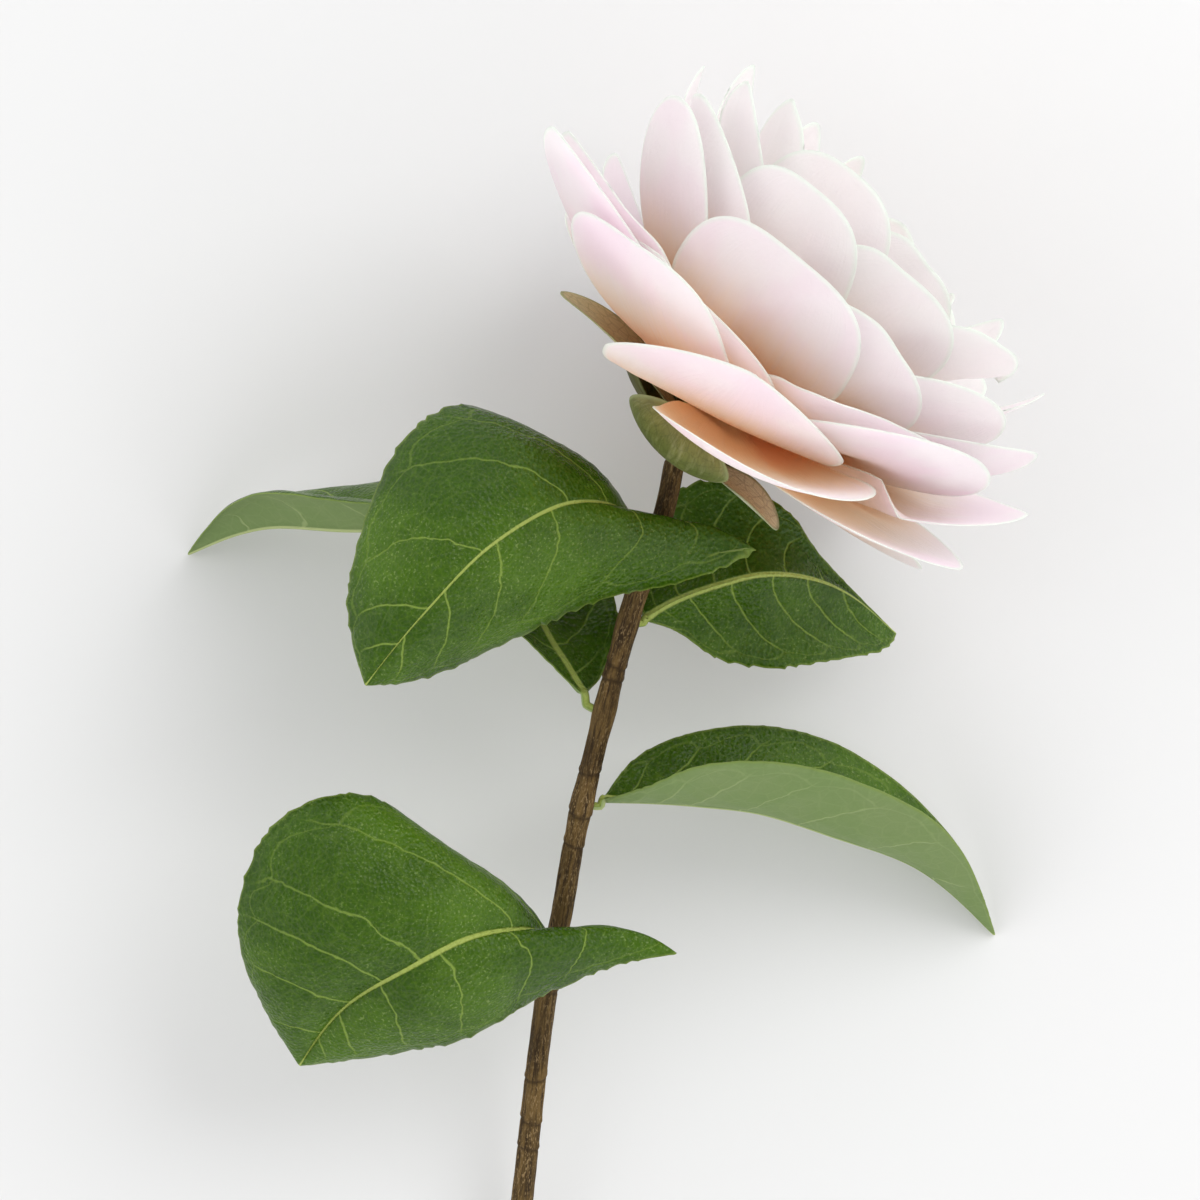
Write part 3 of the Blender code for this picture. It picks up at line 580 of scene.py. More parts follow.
def add_piece(name, points, faces, materials, picks, tags):
    """A mesh object in the row frame, with a material for each face and vector tags at its points."""
    mesh = bpy.data.meshes.new(name)
    mesh.from_pydata(((points + ORIGIN) * MM).tolist(), [], faces)
    for material in materials:
        mesh.materials.append(material)
    mesh.polygons.foreach_set("material_index", picks)
    for tag, values in tags.items():
        layer = mesh.attributes.new(tag, "FLOAT_VECTOR", "POINT")
        layer.data.foreach_set("vector", np.ascontiguousarray(values, np.float32).reshape(-1))
    mesh.shade_smooth()
    mesh.update()
    return linked(name, mesh)


def closed_sheet(name, front, back, materials, front_tags, back_tags):
    """A thin solid between two grids of points. The rim belongs to the front."""
    rows, columns = front.shape[:2]
    number = np.arange(rows * columns).reshape(rows, columns)
    quads = np.stack([number[:-1, :-1], number[:-1, 1:], number[1:, 1:], number[1:, :-1]], -1)
    quads = quads.reshape(-1, 4)
    loop = np.concatenate([number[0, :-1], number[:-1, -1], number[-1, :0:-1], number[:0:-1, 0]])
    after = np.roll(loop, -1)
    rim = np.stack([after, loop, loop + number.size, after + number.size], -1)
    faces = np.concatenate([quads, rim, quads[:, ::-1] + number.size])
    points = np.concatenate([front.reshape(-1, 3), back.reshape(-1, 3)])
    picks = np.repeat([0, 0, len(materials) - 1], [len(quads), len(rim), len(quads)])
    tags = {tag: np.concatenate([front_tags[tag].reshape(-1, 3), back_tags[tag].reshape(-1, 3)])
            for tag in front_tags}
    return add_piece(name, points, faces.tolist(), materials, picks.astype(np.int32), tags)


# ---- materials ----
class Shader:
    """A material under construction."""

    def __init__(self, name):
        self.material = bpy.data.materials.new(name)
        self.material.use_nodes = True
        self.tree = self.material.node_tree
        self.main = self.tree.nodes["Principled BSDF"]

    def node(self, kind, inputs=(), **settings):
        """A node with its settings, and its inputs as values or links."""
        node = self.tree.nodes.new("ShaderNode" + kind)
        for key, value in settings.items():
            setattr(node, key, value)
        for key, value in dict(inputs).items():
            self.feed(node.inputs[key], value)
        return node

    def feed(self, socket, value):
        """Link a socket to another, or give it a value."""
        if isinstance(value, bpy.types.NodeSocket):
            self.tree.links.new(value, socket)
        elif isinstance(value, tuple) and len(value) == 3 and socket.type == "RGBA":
            socket.default_value = (*value, 1)
        else:
            socket.default_value = value

    def maths(self, operation, a, b=0.0):
        """One sum."""
        node = self.node("Math", operation=operation)
        for socket, value in zip(node.inputs, (a, b)):
            self.feed(socket, value)
        return node.outputs[0]

    def times(self, a, b):
        """A product."""
        return self.maths("MULTIPLY", a, b)

    def away(self, value, middle):
        """How far a value lies from a middle one."""
        return self.maths("ABSOLUTE", self.maths("SUBTRACT", value, middle))

    def mix(self, share, a, b, how="MIX"):
        """Two colours mixed."""
        node = self.node("Mix", data_type="RGBA", blend_type=how)
        for key, value in (("Factor", share), ("A", a), ("B", b)):
            self.feed(node.inputs[key], value)
        return node.outputs["Result"]

    def over(self, colour, paint, share, strength):
        """A colour with a share of paint laid over it."""
        return self.mix(self.times(share, strength), colour, paint)

    def between(self, value, low, high, to_low=0.0, to_high=1.0):
        """A value carried smoothly from one range to another."""
        node = self.node("MapRange", interpolation_type="SMOOTHSTEP")
        for key, number in zip(("Value", "From Min", "From Max", "To Min", "To Max"),
                               (value, low, high, to_low, to_high)):
            self.feed(node.inputs[key], number)
        return node.outputs["Result"]

    def tag(self, name):
        """A vector tag of the mesh's points."""
        return self.node("Attribute", attribute_name=name).outputs["Vector"]

    def parts(self, name):
        """The three values of a vector tag."""
        return self.node("SeparateXYZ", {"Vector": self.tag(name)}).outputs

    def noise(self, vector, scale, detail=3.0, roughness=0.55):
        """Soft noise."""
        inputs = {"Vector": vector, "Scale": scale, "Detail": detail, "Roughness": roughness}
        return self.node("TexNoise", inputs).outputs["Fac"]

    def cells(self, vector, scale, feature="DISTANCE_TO_EDGE"):
        """Distance to the nearest wall of a net of cells."""
        node = self.node("TexVoronoi", {"Vector": vector, "Scale": scale}, feature=feature)
        return node.outputs["Distance"]

    def net(self, vector, scale, near, far):
        """1 on the walls of a net of cells, 0 away from them."""
        return self.between(self.cells(vector, scale), near, far, 1.0, 0.0)

    def stretched(self, vector, factors):
        """A vector with each part multiplied."""
        node = self.node("VectorMath", operation="MULTIPLY")
        self.feed(node.inputs[0], vector)
        self.feed(node.inputs[1], factors)
        return node.outputs["Vector"]

    def fan(self, *pairs):
        """A vector whose parts are each a value times a factor."""
        parts = {key: self.times(*pair) for key, pair in zip("XYZ", pairs)}
        return self.node("CombineXYZ", parts).outputs["Vector"]

    def bump(self, height, distance, strength, below=None):
        """A normal from a height, in metres times distance."""
        node = self.node("Bump", {"Height": height, "Distance": distance, "Strength": strength})
        if below is not None:
            self.feed(node.inputs["Normal"], below)
        return node.outputs["Normal"]

    def place(self):
        """The point's own place, in metres."""
        return self.node("TexCoord").outputs["Object"]

    def finish(self, colour, normal, roughness, specular, glow=None, glow_share=0.0):
        """The surface, and what shines through it."""
        sockets = self.main.inputs
        self.feed(sockets["Base Color"], colour)
        self.feed(sockets["Roughness"], roughness)
        if normal is not None:
            self.feed(sockets["Normal"], normal)
        sockets["Specular IOR Level"].default_value = specular
        if glow is not None:
            through = self.node("BsdfTranslucent", glow).outputs[0]
            both = self.node("MixShader", {0: glow_share, 1: self.main.outputs[0], 2: through})
            self.feed(self.tree.nodes["Material Output"].inputs["Surface"], both.outputs[0])
        return self.material


ORANGE_FOOT_AND_SHADE, INNER_ORANGE_AND_CAVITY_SHADE = (0.99, 0.62, 0.34), (1.0, 0.80, 0.58)  # on a petal's outer and inner face: partly the petal's own orange foot, partly painted warm shade of the cavities between petals
# peach: partly the petal's own colour, partly painted warm shade toward the foot
PEACH_AND_WARM_SHADE = (0.99, 0.90, 0.79)
PINK_PETAL, PALE_PETAL = (0.98, 0.90, 0.955), (0.98, 0.95, 0.97)
INNER_PETAL = (0.985, 0.98, 0.978)
# mint rim: partly the petal's own tint, partly a painted highlight along its margin
MINT_RIM_AND_HIGHLIGHT = (0.93, 1.0, 0.94)
THROUGH_PETAL = (1.0, 0.985, 0.98)  # what light takes on as it comes through
PETAL_GLOW = 0.58  # share of the light that comes through
ORANGE_AND_SHADE_ENDS, PEACH_AND_SHADE_ENDS = (16.5, 31.0), (24.0, 41.0)  # where the orange and peach, with their painted warm shade, fade out, from the head's origin
STREAKS = 6.0  # how far these ends wander along the veins
CAVITY_SHADE_SHIFT = (8.0, 3.0)  # and lie further out on inner faces, of outer and inner petals: painted warm shade, where inner faces lie in the cavities between petals


def petal_material():
    """Thin, soft petals: orange at the foot, then peach, pale pink and white, with a mint rim.
    The orange and peach are partly the petal's own colour and partly painted warm shade of the cavities
    between petals, reaching further out on inner faces; the mint rim is partly a painted highlight.

    Tag "place": across, along, distance to the rim. Tag "tone": distance from the head's origin, share of
    the way to the innermost petal, and 1 on the inner side.
    """
    s = Shader("petal")
    across, along, rim = s.parts("place")
    depth, rank, inner = s.parts("tone")
    where = s.place()
    veins = s.noise(s.fan((across, 26.0), (along, 2.2), (rank, 90.0)), 1.0, 3.0, 0.6)
    pale = s.mix(s.between(s.noise(where, 70.0, 2.0), 0.38, 0.62), PINK_PETAL, PALE_PETAL)
    pale = s.mix(s.between(rank, 0.15, 0.75, 0.0, 0.75), pale, INNER_PETAL)
    pale = s.over(pale, INNER_PETAL, inner, 0.35)
    streaked = s.maths("ADD", depth, s.times(s.maths("SUBTRACT", veins, 0.5), STREAKS))
    # painted warm shade: on inner faces the orange and peach reach further out, into the cavities between
    # petals
    streaked = s.maths("SUBTRACT", streaked, s.times(inner, s.between(rank, 0.1, 0.6, *CAVITY_SHADE_SHIFT)))
    # orange and peach toward the foot: partly the petal's own colour, partly painted warm shade
    colour = s.mix(s.between(streaked, *PEACH_AND_SHADE_ENDS), PEACH_AND_WARM_SHADE, pale)
    colour = s.mix(s.between(streaked, *ORANGE_AND_SHADE_ENDS), s.mix(inner, ORANGE_FOOT_AND_SHADE, INNER_ORANGE_AND_CAVITY_SHADE), colour)
    colour = s.mix(s.between(veins, 0.5, 0.75, 0.0, 0.08), colour, PINK_PETAL)
    # mint rim, partly a painted highlight along the margin, away from the petal's foot
    edge = s.times(s.between(rim, 0.0, 1.1, 1.0, 0.0), s.between(depth, 24.0, 34.0))
    colour = s.over(colour, MINT_RIM_AND_HIGHLIGHT, edge, 0.8)
    grain = s.noise(where, 1500.0, 2.0)
    soft = s.bump(grain, 0.00012, 0.5, s.bump(veins, 0.0005, 0.25))
    s.main.inputs["Sheen Weight"].default_value = 0.12
    s.main.inputs["Sheen Roughness"].default_value = 0.4
    glow = {"Color": s.mix(1.0, colour, THROUGH_PETAL, "MULTIPLY"), "Normal": soft}
    return s.finish(colour, soft, s.between(grain, 0.3, 0.7, 0.42, 0.58), 0.35, glow, PETAL_GLOW)


# the third colour: pale specks painted as glints of the pebbled gloss, a painted highlight
LEAF_DARK, LEAF_LIGHT, LEAF_SHEEN_SPECK = (0.028, 0.076, 0.001), (0.058, 0.134, 0.003), (0.24, 0.33, 0.10)
LEAF_VEIN, LEAF_RIB, LEAF_RIM = (0.25, 0.36, 0.06), (0.36, 0.44, 0.10), (0.20, 0.28, 0.05)
UNDER_LEAF, UNDER_CLOUD, UNDER_NET = (0.175, 0.25, 0.08), (0.15, 0.24, 0.07), (0.12, 0.19, 0.05)
UNDER_VEIN, UNDER_RIB = (0.30, 0.38, 0.15), (0.45, 0.52, 0.22)
LEAF_GLOW, UNDER_GLOW = (0.22, 0.38, 0.05), (0.25, 0.40, 0.06)
PAINTED_RIB = 0.8  # width of the rib's colour, of the raised rib's


def vein_lines(s):
    """How near each point of a blade is to its midrib, side veins and their loops.

    Tag "blade": distance from the midrib, share of the way along, distance to the edge. Tag "veins":
    number of side veins passed, distance between them, distance to the loops that join them.
    """
    from_rib, along, edge = s.parts("blade")
    passed, spacing, loop = s.parts("veins")
    where = s.place()
    wander = s.times(s.maths("SUBTRACT", s.noise(where, 180.0, 2.0), 0.5), 0.28)
    passed = s.maths("ADD", passed, wander)
    side = s.times(s.away(s.maths("FRACT", s.maths("ADD", passed, 0.5)), 0.5), spacing)
    width = s.between(along, 0.0, 1.0, *(half * PAINTED_RIB for half in RIB_WIDTH))
    from_rib = s.maths("ABSOLUTE", from_rib)
    rib = s.between(s.maths("DIVIDE", from_rib, width), 0.65, 1.25, 1.0, 0.0)
    fading = s.between(from_rib, 4.0, 26.0, 1.0, 0.45)
    side = s.times(s.between(side, 0.05, 0.30, 1.0, 0.0), fading)
    side = s.times(side, s.between(edge, 0.8, 4.5))
    loop = s.maths("ABSOLUTE", s.maths("ADD", loop, s.times(wander, 6.0)))
    loop = s.times(s.between(loop, 0.05, 0.26, 1.0, 0.0), 0.3)
    net, fine = s.net(where, 300.0, 0.015, 0.07), s.net(where, 820.0, 0.02, 0.12)
    return rib, s.maths("MAXIMUM", side, loop), net, fine, edge, where


def leaf_material():
    """The upper face of a leaf: glossy dark green, pebbled, with yellow-green veins."""
    s = Shader("leaf")
    rib, side, net, fine, edge, where = vein_lines(s)
    mottled = s.noise(where, 55.0, 4.0, 0.6)
    speckled = s.noise(where, 900.0, 2.0)
    colour = s.mix(s.between(mottled, 0.35, 0.68), LEAF_DARK, LEAF_LIGHT)
    colour = s.mix(s.between(speckled, 0.5, 0.72, 0.0, 0.4), colour, LEAF_LIGHT)
    # painted highlight: pale specks that stand in for glints of the pebbled gloss
    sheen_specks = s.times(s.between(s.noise(where, 2100.0, 1.0), 0.6, 0.72), s.between(mottled, 0.3, 0.6))
    rim = s.between(edge, 0.05, 0.45, 1.0, 0.0)
    for paint, share, strength in ((LEAF_SHEEN_SPECK, sheen_specks, 0.5), (LEAF_VEIN, fine, 0.06),
                                   (LEAF_VEIN, net, 0.055), (LEAF_VEIN, side, 0.7), (LEAF_RIM, rim, 0.7)):
        colour = s.over(colour, paint, share, strength)
    colour = s.mix(rib, colour, LEAF_RIB)
    normal = s.bump(s.cells(where, 1500.0, "F1"), 0.00030, 0.8)
    normal = s.bump(net, -0.0001, 0.12, normal)
    normal = s.bump(s.maths("MAXIMUM", side, rib), -0.00025, 0.6, normal)
    normal = s.bump(s.noise(where, 260.0, 3.0), 0.0005, 0.35, normal)
    roughness = s.between(mottled, 0.3, 0.7, 0.24, 0.34)
    return s.finish(colour, normal, roughness, 0.2, {"Color": LEAF_GLOW}, 0.06)


def under_leaf_material():
    """The underside of a leaf: matt and paler, with raised veins."""
    s = Shader("leaf_under")
    rib, side, net, fine, edge, where = vein_lines(s)
    mottled = s.noise(where, 90.0, 4.0, 0.6)
    colour = s.mix(s.between(mottled, 0.3, 0.7, 0.0, 0.5), UNDER_LEAF, UNDER_CLOUD)
    rim = s.between(edge, 0.05, 0.5, 1.0, 0.0)
    for paint, share, strength in ((UNDER_NET, fine, 0.12), (UNDER_VEIN, net, 0.10),
                                   (UNDER_VEIN, side, 0.7), (LEAF_RIM, rim, 0.6), (UNDER_RIB, rib, 0.9)):
        colour = s.over(colour, paint, share, strength)
    normal = s.bump(net, 0.0001, 0.15, s.bump(side, 0.00015, 0.6))
    normal = s.bump(s.noise(where, 1400.0, 2.0), 0.0001, 0.5, normal)
    roughness = s.between(mottled, 0.3, 0.7, 0.5, 0.66)
    return s.finish(colour, normal, roughness, 0.35, {"Color": UNDER_GLOW}, 0.08)


OLIVE, GREEN_OLIVE, DARK_OLIVE = (0.19, 0.165, 0.03), (0.12, 0.16, 0.03), (0.05, 0.055, 0.008)
TAN, DRY_AND_PAINTED_LIGHT, CALYX_RIM = (0.68, 0.61, 0.36), (0.80, 0.82, 0.64), (0.28, 0.31, 0.13)


def sepal_material():
    """Calyx: olive to dry tan and pale, netted with fine dark veins, with a paler rim. The pale is partly
    painted light, making up for the shade that falls on the sepal that has it.

    Tags as on a petal, but the first value of "tone" is the sepal's tone.
    """
    s = Shader("sepal")
    across, along, rim = s.parts("place")
    tone = s.parts("tone")[0]
    where = s.place()
    cloud = s.noise(where, 160.0, 3.0)
    streaks = s.noise(s.fan((across, 9.0), (along, 2.4), (tone, 40.0)), 1.0, 4.0, 0.65)
    net = s.net(where, 520.0, 0.02, 0.10)
    lines = s.between(s.away(streaks, 0.5), 0.0, 0.03, 1.0, 0.0)
    olive = s.times(s.between(cloud, 0.35, 0.65), s.between(tone, 0.0, 0.3, 0.35, 1.0))
    colour = s.mix(olive, DARK_OLIVE, OLIVE)
    greenish = s.mix(s.between(along, 0.45, 0.9), GREEN_OLIVE, OLIVE)
    colour = s.over(colour, greenish, s.between(tone, 0.0, 0.4), 0.8)
    colour = s.mix(s.between(tone, 0.3, 1.0, 0.0, 0.85), colour, TAN)
    # painted light: the dry pale, partly standing in for light on a sepal that lies in shade
    colour = s.mix(s.between(tone, 1.0, 1.5, 0.0, 0.8), colour, DRY_AND_PAINTED_LIGHT)
    colour = s.mix(s.between(streaks, 0.5, 0.72, 0.0, 0.16), colour, TAN)
    colour = s.over(colour, DARK_OLIVE, net, 0.22)
    colour = s.over(colour, DARK_OLIVE, lines, 0.30)
    at_rim = s.times(s.between(rim, 0.1, 0.9, 0.75, 0.0), s.between(tone, 0.0, 0.3, 0.3, 1.0))
    colour = s.mix(at_rim, colour, CALYX_RIM)
    normal = s.bump(net, -0.0001, 0.2, s.bump(streaks, 0.0006, 0.5))
    return s.finish(colour, normal, s.between(cloud, 0.3, 0.7, 0.5, 0.7), 0.4)


BARK, BARK_LIGHT, BARK_DARK = (0.155, 0.094, 0.030), (0.31, 0.21, 0.10), (0.034, 0.019, 0.006)
WOOD, PITH = (0.55, 0.47, 0.30), (0.30, 0.22, 0.12)


def bark_material():
    """Brown bark with streaks along it, dark rings and blotches.

    Tag "grain": around and along, without a seam. Tag "marks": nearness to a ring and to a blotch.
    """
    s = Shader("bark")
    grain = s.tag("grain")
    ring, blotch, _ = s.parts("marks")
    streaks = s.noise(s.stretched(grain, (1.0, 1.0, 0.09)), 1.5, 5.0, 0.7)
    flecks = s.noise(s.stretched(grain, (1.0, 1.0, 0.35)), 4.0, 3.0, 0.6)
    patches = s.noise(grain, 0.16, 3.0, 0.6)
    colour = s.mix(s.between(streaks, 0.38, 0.62), BARK_DARK, BARK)
    light = s.times(s.between(flecks, 0.5, 0.68), s.between(patches, 0.35, 0.6, 0.25, 1.0))
    colour = s.mix(light, colour, BARK_LIGHT)
    for dark in (s.times(blotch, s.between(flecks, 0.35, 0.55)), ring):
        colour = s.over(colour, BARK_DARK, dark, 0.85)
    normal = s.bump(flecks, 0.0004, 0.6, s.bump(streaks, 0.0012, 0.6))
    return s.finish(colour, normal, s.between(flecks, 0.3, 0.7, 0.6, 0.85), 0.15)


def cut_material():
    """The cut end: pale wood with faint rings, darker at the pith and under the bark.

    The first value of "marks" is the share of the way out from the pith.
    """
    s = Shader("cut_wood")
    grain = s.tag("grain")
    out = s.parts("marks")[0]
    from_pith = s.node("CombineXYZ", {"X": out}).outputs["Vector"]
    wave = {"Vector": from_pith, "Scale": 3.5, "Distortion": 1.2, "Detail": 2.0}
    rings = s.node("TexWave", wave).outputs["Fac"]
    colour = s.over(WOOD, PITH, rings, 0.35)
    colour = s.mix(s.between(out, 0.12, 0.26, 0.9, 0.0), colour, PITH)
    colour = s.mix(s.between(out, 0.78, 0.95), colour, BARK)
    normal = s.bump(s.noise(grain, 6.0), 0.0003, 0.6)
    return s.finish(colour, normal, s.between(rings, 0.0, 1.0, 0.7, 0.85), 0.5)


# ---- pieces ----
def ride_for(piece, node):
    """The piece stands for its CAD node, on the one body."""
    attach(piece, "root")
    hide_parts(node)


def soft_rim(sheet, distance, side, order):
    """A sheet whose rim turns outward and ripples a little."""
    along, across = (resampled(value, PETAL_DETAIL, smooth) for value in round_sheet())
    from_foot = np.linalg.norm(sheet - sheet[0, ACROSS * PETAL_DETAIL // 2], axis=-1)
    free = np.clip((from_foot - HELD_LENGTH) / LOOSENING, 0, 1)
    around = np.arctan2(across, along - 0.5)
    wave = sum(share * np.sin(around * count + order * shift) for count, shift, share in RIM_WAVES)
    turn_out = RIM_TURN * np.exp(-distance / RIM_REACH) + RIPPLE * wave * np.exp(-distance / RIPPLE_REACH)
    return sheet + normals_of(sheet) * side * (turn_out * free)[..., None], along, across


def add_petals(petal, sepal):
    """Every petal and sepal, as a thin closed sheet with a soft rim."""
    turned = head_matrix().T
    up_axis = np.array((0, 0, 1)) * np.cos(OUTWARD_LEAN)
    for order, (name, sheet) in enumerate(head_sheets().items()):
        sheet = resampled(sheet, PETAL_DETAIL, smooth)
        distance = edge_distance(sheet)
        outward = unit(sheet * (1, 1, 0)) * np.sin(OUTWARD_LEAN) - up_axis
        side = np.sign((normals_of(sheet) * outward).sum(-1).mean())
        sheet, along, across = soft_rim(sheet, distance, side, order)
        if name in SEPALS:
            slot, material, thick, rim = "sepal", sepal, SEPAL_THICKNESS, SEPAL_RIM
            tone, rank = np.full(distance.shape, SEPAL_TONE.get(name, OTHER_SEPAL_TONE)), 0.0
        else:
            slot, material, thick, rim = "petal", petal, PETAL_THICKNESS, PETAL_RIM
            tone, rank = np.linalg.norm(sheet, axis=-1), (order - len(SEPALS)) / (len(PETALS) - 1)
        half = (rim + (thick - rim) * (1 - np.exp(-distance / RIM_WIDTH))) / 2
        normal = normals_of(sheet)
        faces = [(sheet + normal * half[..., None]) @ turned + HEAD,
                 (sheet - normal * half[..., None]) @ turned + HEAD]
        tags = [{"place": stacked(across, along, distance), "tone": stacked(tone, rank, inner)}
                for inner in ((1 - side) / 2, (1 + side) / 2)]
        ride_for(closed_sheet("shown_" + name, *faces, [material], *tags), name)


def side_vein_map(leaf, along, shares):
    """How many side veins lie between the blade's foot and each point."""
    halves = []
    for half in ("left_veins", "right_veins"):
        starts, ends = np.array(leaf[half]).T
        share = np.abs(shares) ** VEIN_BEND
        crossing = starts[:, None] + (ends - starts)[:, None] * share[None, :]
        before = crossing[:1] - (crossing[1] - crossing[0])
        after = crossing[-1:] + np.maximum(1 - crossing[-1:], 0.05)
        crossing = np.concatenate([before, crossing, after])
        numbers = np.arange(len(crossing)) - 1.0
        halves.append(np.stack([np.interp(along, column, numbers) for column in crossing.T], 1))
    passed = np.where(shares > 0, *halves)
    return np.vstack([np.repeat(passed[:1], STALK_ROWS, 0), passed])


def across_gradient(values, grid):
    """How fast values change over a grid of points, per millimetre."""
    du, dv = np.gradient(grid, axis=0), np.gradient(grid, axis=1)
    fu, fv = np.gradient(values, axis=0), np.gradient(values, axis=1)
    uu, uv, vv = (du * du).sum(-1), (du * dv).sum(-1), (dv * dv).sum(-1)
    area = np.maximum(uu * vv - uv * uv, 1e-6)
    return np.sqrt(np.maximum((fu * fu * vv - 2 * fu * fv * uv + fv * fv * uu) / area, 1e-9))


def teeth(edge, seed):
    """Height of the teeth along an edge: each rises slowly toward the tip and falls quickly."""
    length = np.concatenate([[0], np.cumsum(np.linalg.norm(np.diff(edge, axis=0), axis=1))])
    uneven = 0.35 * np.sin(length * 0.37 + seed)
    part = (length / TOOTH_LENGTH + uneven + 0.2 * np.sin(length * 0.83 + 2 * seed)) % 1
    height = np.where(part < TOOTH_RISE, (part / TOOTH_RISE) ** 1.4, (1 - part) / (1 - TOOTH_RISE))
    size = 0.75 + 0.35 * np.sin(length * 0.21 + 3 * seed)
    from_foot, from_tip = length / TEETH_ENDS[0], (length[-1] - length) / TEETH_ENDS[1]
    ends = np.clip(from_foot, 0, 1) * np.clip(from_tip, 0, 1)
    return TOOTH_HEIGHT * height * size * ends


def toothed(grid, shares, order):
    """A blade whose edges are drawn out into teeth, in the plane of the blade."""
    body = grid[STALK_ROWS:]
    chord = unit(body[:, -1] - body[:, 0])
    for column, sign in ((-1, 1), (0, -1)):
        out = chord * sign * teeth(body[:, column], order + sign)[:, None]
        near_edge = np.where(np.sign(shares) == sign, np.abs(shares), 0) ** 14
        body = body + out[:, None] * near_edge[None, :, None]
    return np.vstack([grid[:STALK_ROWS], body])


def vein_tags(leaf, grid, along, shares, width):
    """At each point: side veins passed, distance between them, distance to the loops that join them."""
    passed = side_vein_map(leaf, along, shares)
    spacing = np.clip(1 / np.maximum(across_gradient(passed, grid), 1e-3), 0.5, 30)
    loop = (np.abs(shares) - LOOP_AT - LOOP_OUT * np.sin(np.pi * (passed % 1))) * width
    return stacked(passed, spacing, loop)


def in_blade(length):
    """1 on a blade, falling to 0 at its foot and at its tip."""
    return np.clip(length / SMOOTH_ENDS[0], 0, 1) * np.clip((1 - length) / SMOOTH_ENDS[1], 0, 1)


def swelling(passed, length, from_rib, edge, order):
    """How far a blade swells, between its side veins and in small lumps all over."""
    off_rib = np.minimum(from_rib / SWELL_REACH, 1)
    puff = np.sin(np.pi * (passed % 1)) ** 0.8 * off_rib * np.clip(edge / SWELL_REACH, 0, 1)
    rough = ROUGHNESS * np.sin(from_rib * 0.9 + length * 31 + order)
    rough = rough * np.sin(length * 57 + from_rib * 0.35) * off_rib
    return (QUILTING * puff + rough) * in_blade(length)


def leaf_depths(row, shares, length, from_rib, edge):
    """How far both faces lie from a leaf's sheet: a round stalk, then a blade with its midrib."""
    rib_half = RIB_WIDTH[0] + (RIB_WIDTH[1] - RIB_WIDTH[0]) * length
    on_rib = np.sqrt(np.clip(1 - (from_rib / rib_half) ** 2, 0, 1))
    rib_high = (RIB_HEIGHT[0] + (RIB_HEIGHT[1] - RIB_HEIGHT[0]) * length) * on_rib
    groove = RIB_GROOVE * np.exp(-(from_rib / rib_half / 0.9) ** 2) * in_blade(length)
    half = (BLADE_RIM + (BLADE_THICKNESS - BLADE_RIM) * (1 - np.exp(-edge / EDGE_THINNING))) / 2
    stalk = np.sqrt(np.clip(1 - shares ** 2, 0.02, 1))[None, :] * STALK_RADIUS
    blend = np.clip((row - STALK_ROWS) / BLEND_ROWS, 0, 1)
    above = np.where(row < STALK_ROWS, stalk, stalk * 0.6 * (1 - blend) + half * blend - groove)
    below = np.where(row < STALK_ROWS, stalk, stalk * (1 - blend) + (half + rib_high) * blend)
    return np.maximum(above, -0.05), below


def add_leaves(upper, under):
    """Six leaves: folded, quilted between their veins, toothed along their edges, each with its stalk."""
    steps = np.linspace(-1, 1, BLADE_COLUMNS + 1)
    shares = np.sign(steps) * np.abs(steps) ** CROWDING
    for order, (name, leaf) in enumerate(LEAVES.items()):
        grid, along = leaf_sheet(leaf, shares)
        grid = toothed(grid, shares, order)
        row = np.arange(len(grid))[:, None]
        length = np.concatenate([np.zeros(STALK_ROWS), along])[:, None] * np.ones(len(shares))
        rib = grid[:, BLADE_COLUMNS // 2, None]
        from_rib = np.linalg.norm(grid - rib, axis=-1) / RIB_BREADTH.get(name, 1.0)
        width = np.linalg.norm(grid[:, (0, -1)] - rib, axis=-1)
        width = np.where(shares > 0, width[:, 1:], width[:, :1])
        edge = np.minimum(edge_distance(grid), width * (1 - np.abs(shares)) + 0.05)
        edge = np.where(row < STALK_ROWS + 4, STALK_EDGE, edge)
        veins = vein_tags(leaf, grid, along, shares, width)
        swell = swelling(veins[..., 0], length, from_rib, edge, order)
        grid = grid + normals_of(grid) * UPPER_SIDE[name] * swell[..., None]
        normal = normals_of(grid) * UPPER_SIDE[name]
        above, below = leaf_depths(row, shares, length, from_rib, edge)
        sides = [grid + normal * above[..., None], grid - normal * below[..., None]]
        materials = [upper, under]
        if UPPER_SIDE[name] < 0:
            sides, materials = sides[::-1], materials[::-1]
        tags = {"blade": stacked(from_rib * np.sign(shares), length, edge), "veins": veins}
        ride_for(closed_sheet("shown_" + name, *sides, materials, tags, tags), name)


def stem_path():
    """Middle and radius of each ring of points on the stem, from inside the calyx to the cut end."""
    line, radius = stem_line(STEM_RINGS + 1)
    top = np.array(HEAD) + head_matrix()[:, 2] * TOP_HEIGHT
    share = np.linspace(1, 0, TOP_RINGS, endpoint=False)[:, None]
    line = np.vstack([line[0] + (top - line[0]) * share, line])
    return line, np.concatenate([radius[0] + (TOP_RADIUS - radius[0]) * share[:, 0] ** 2, radius])


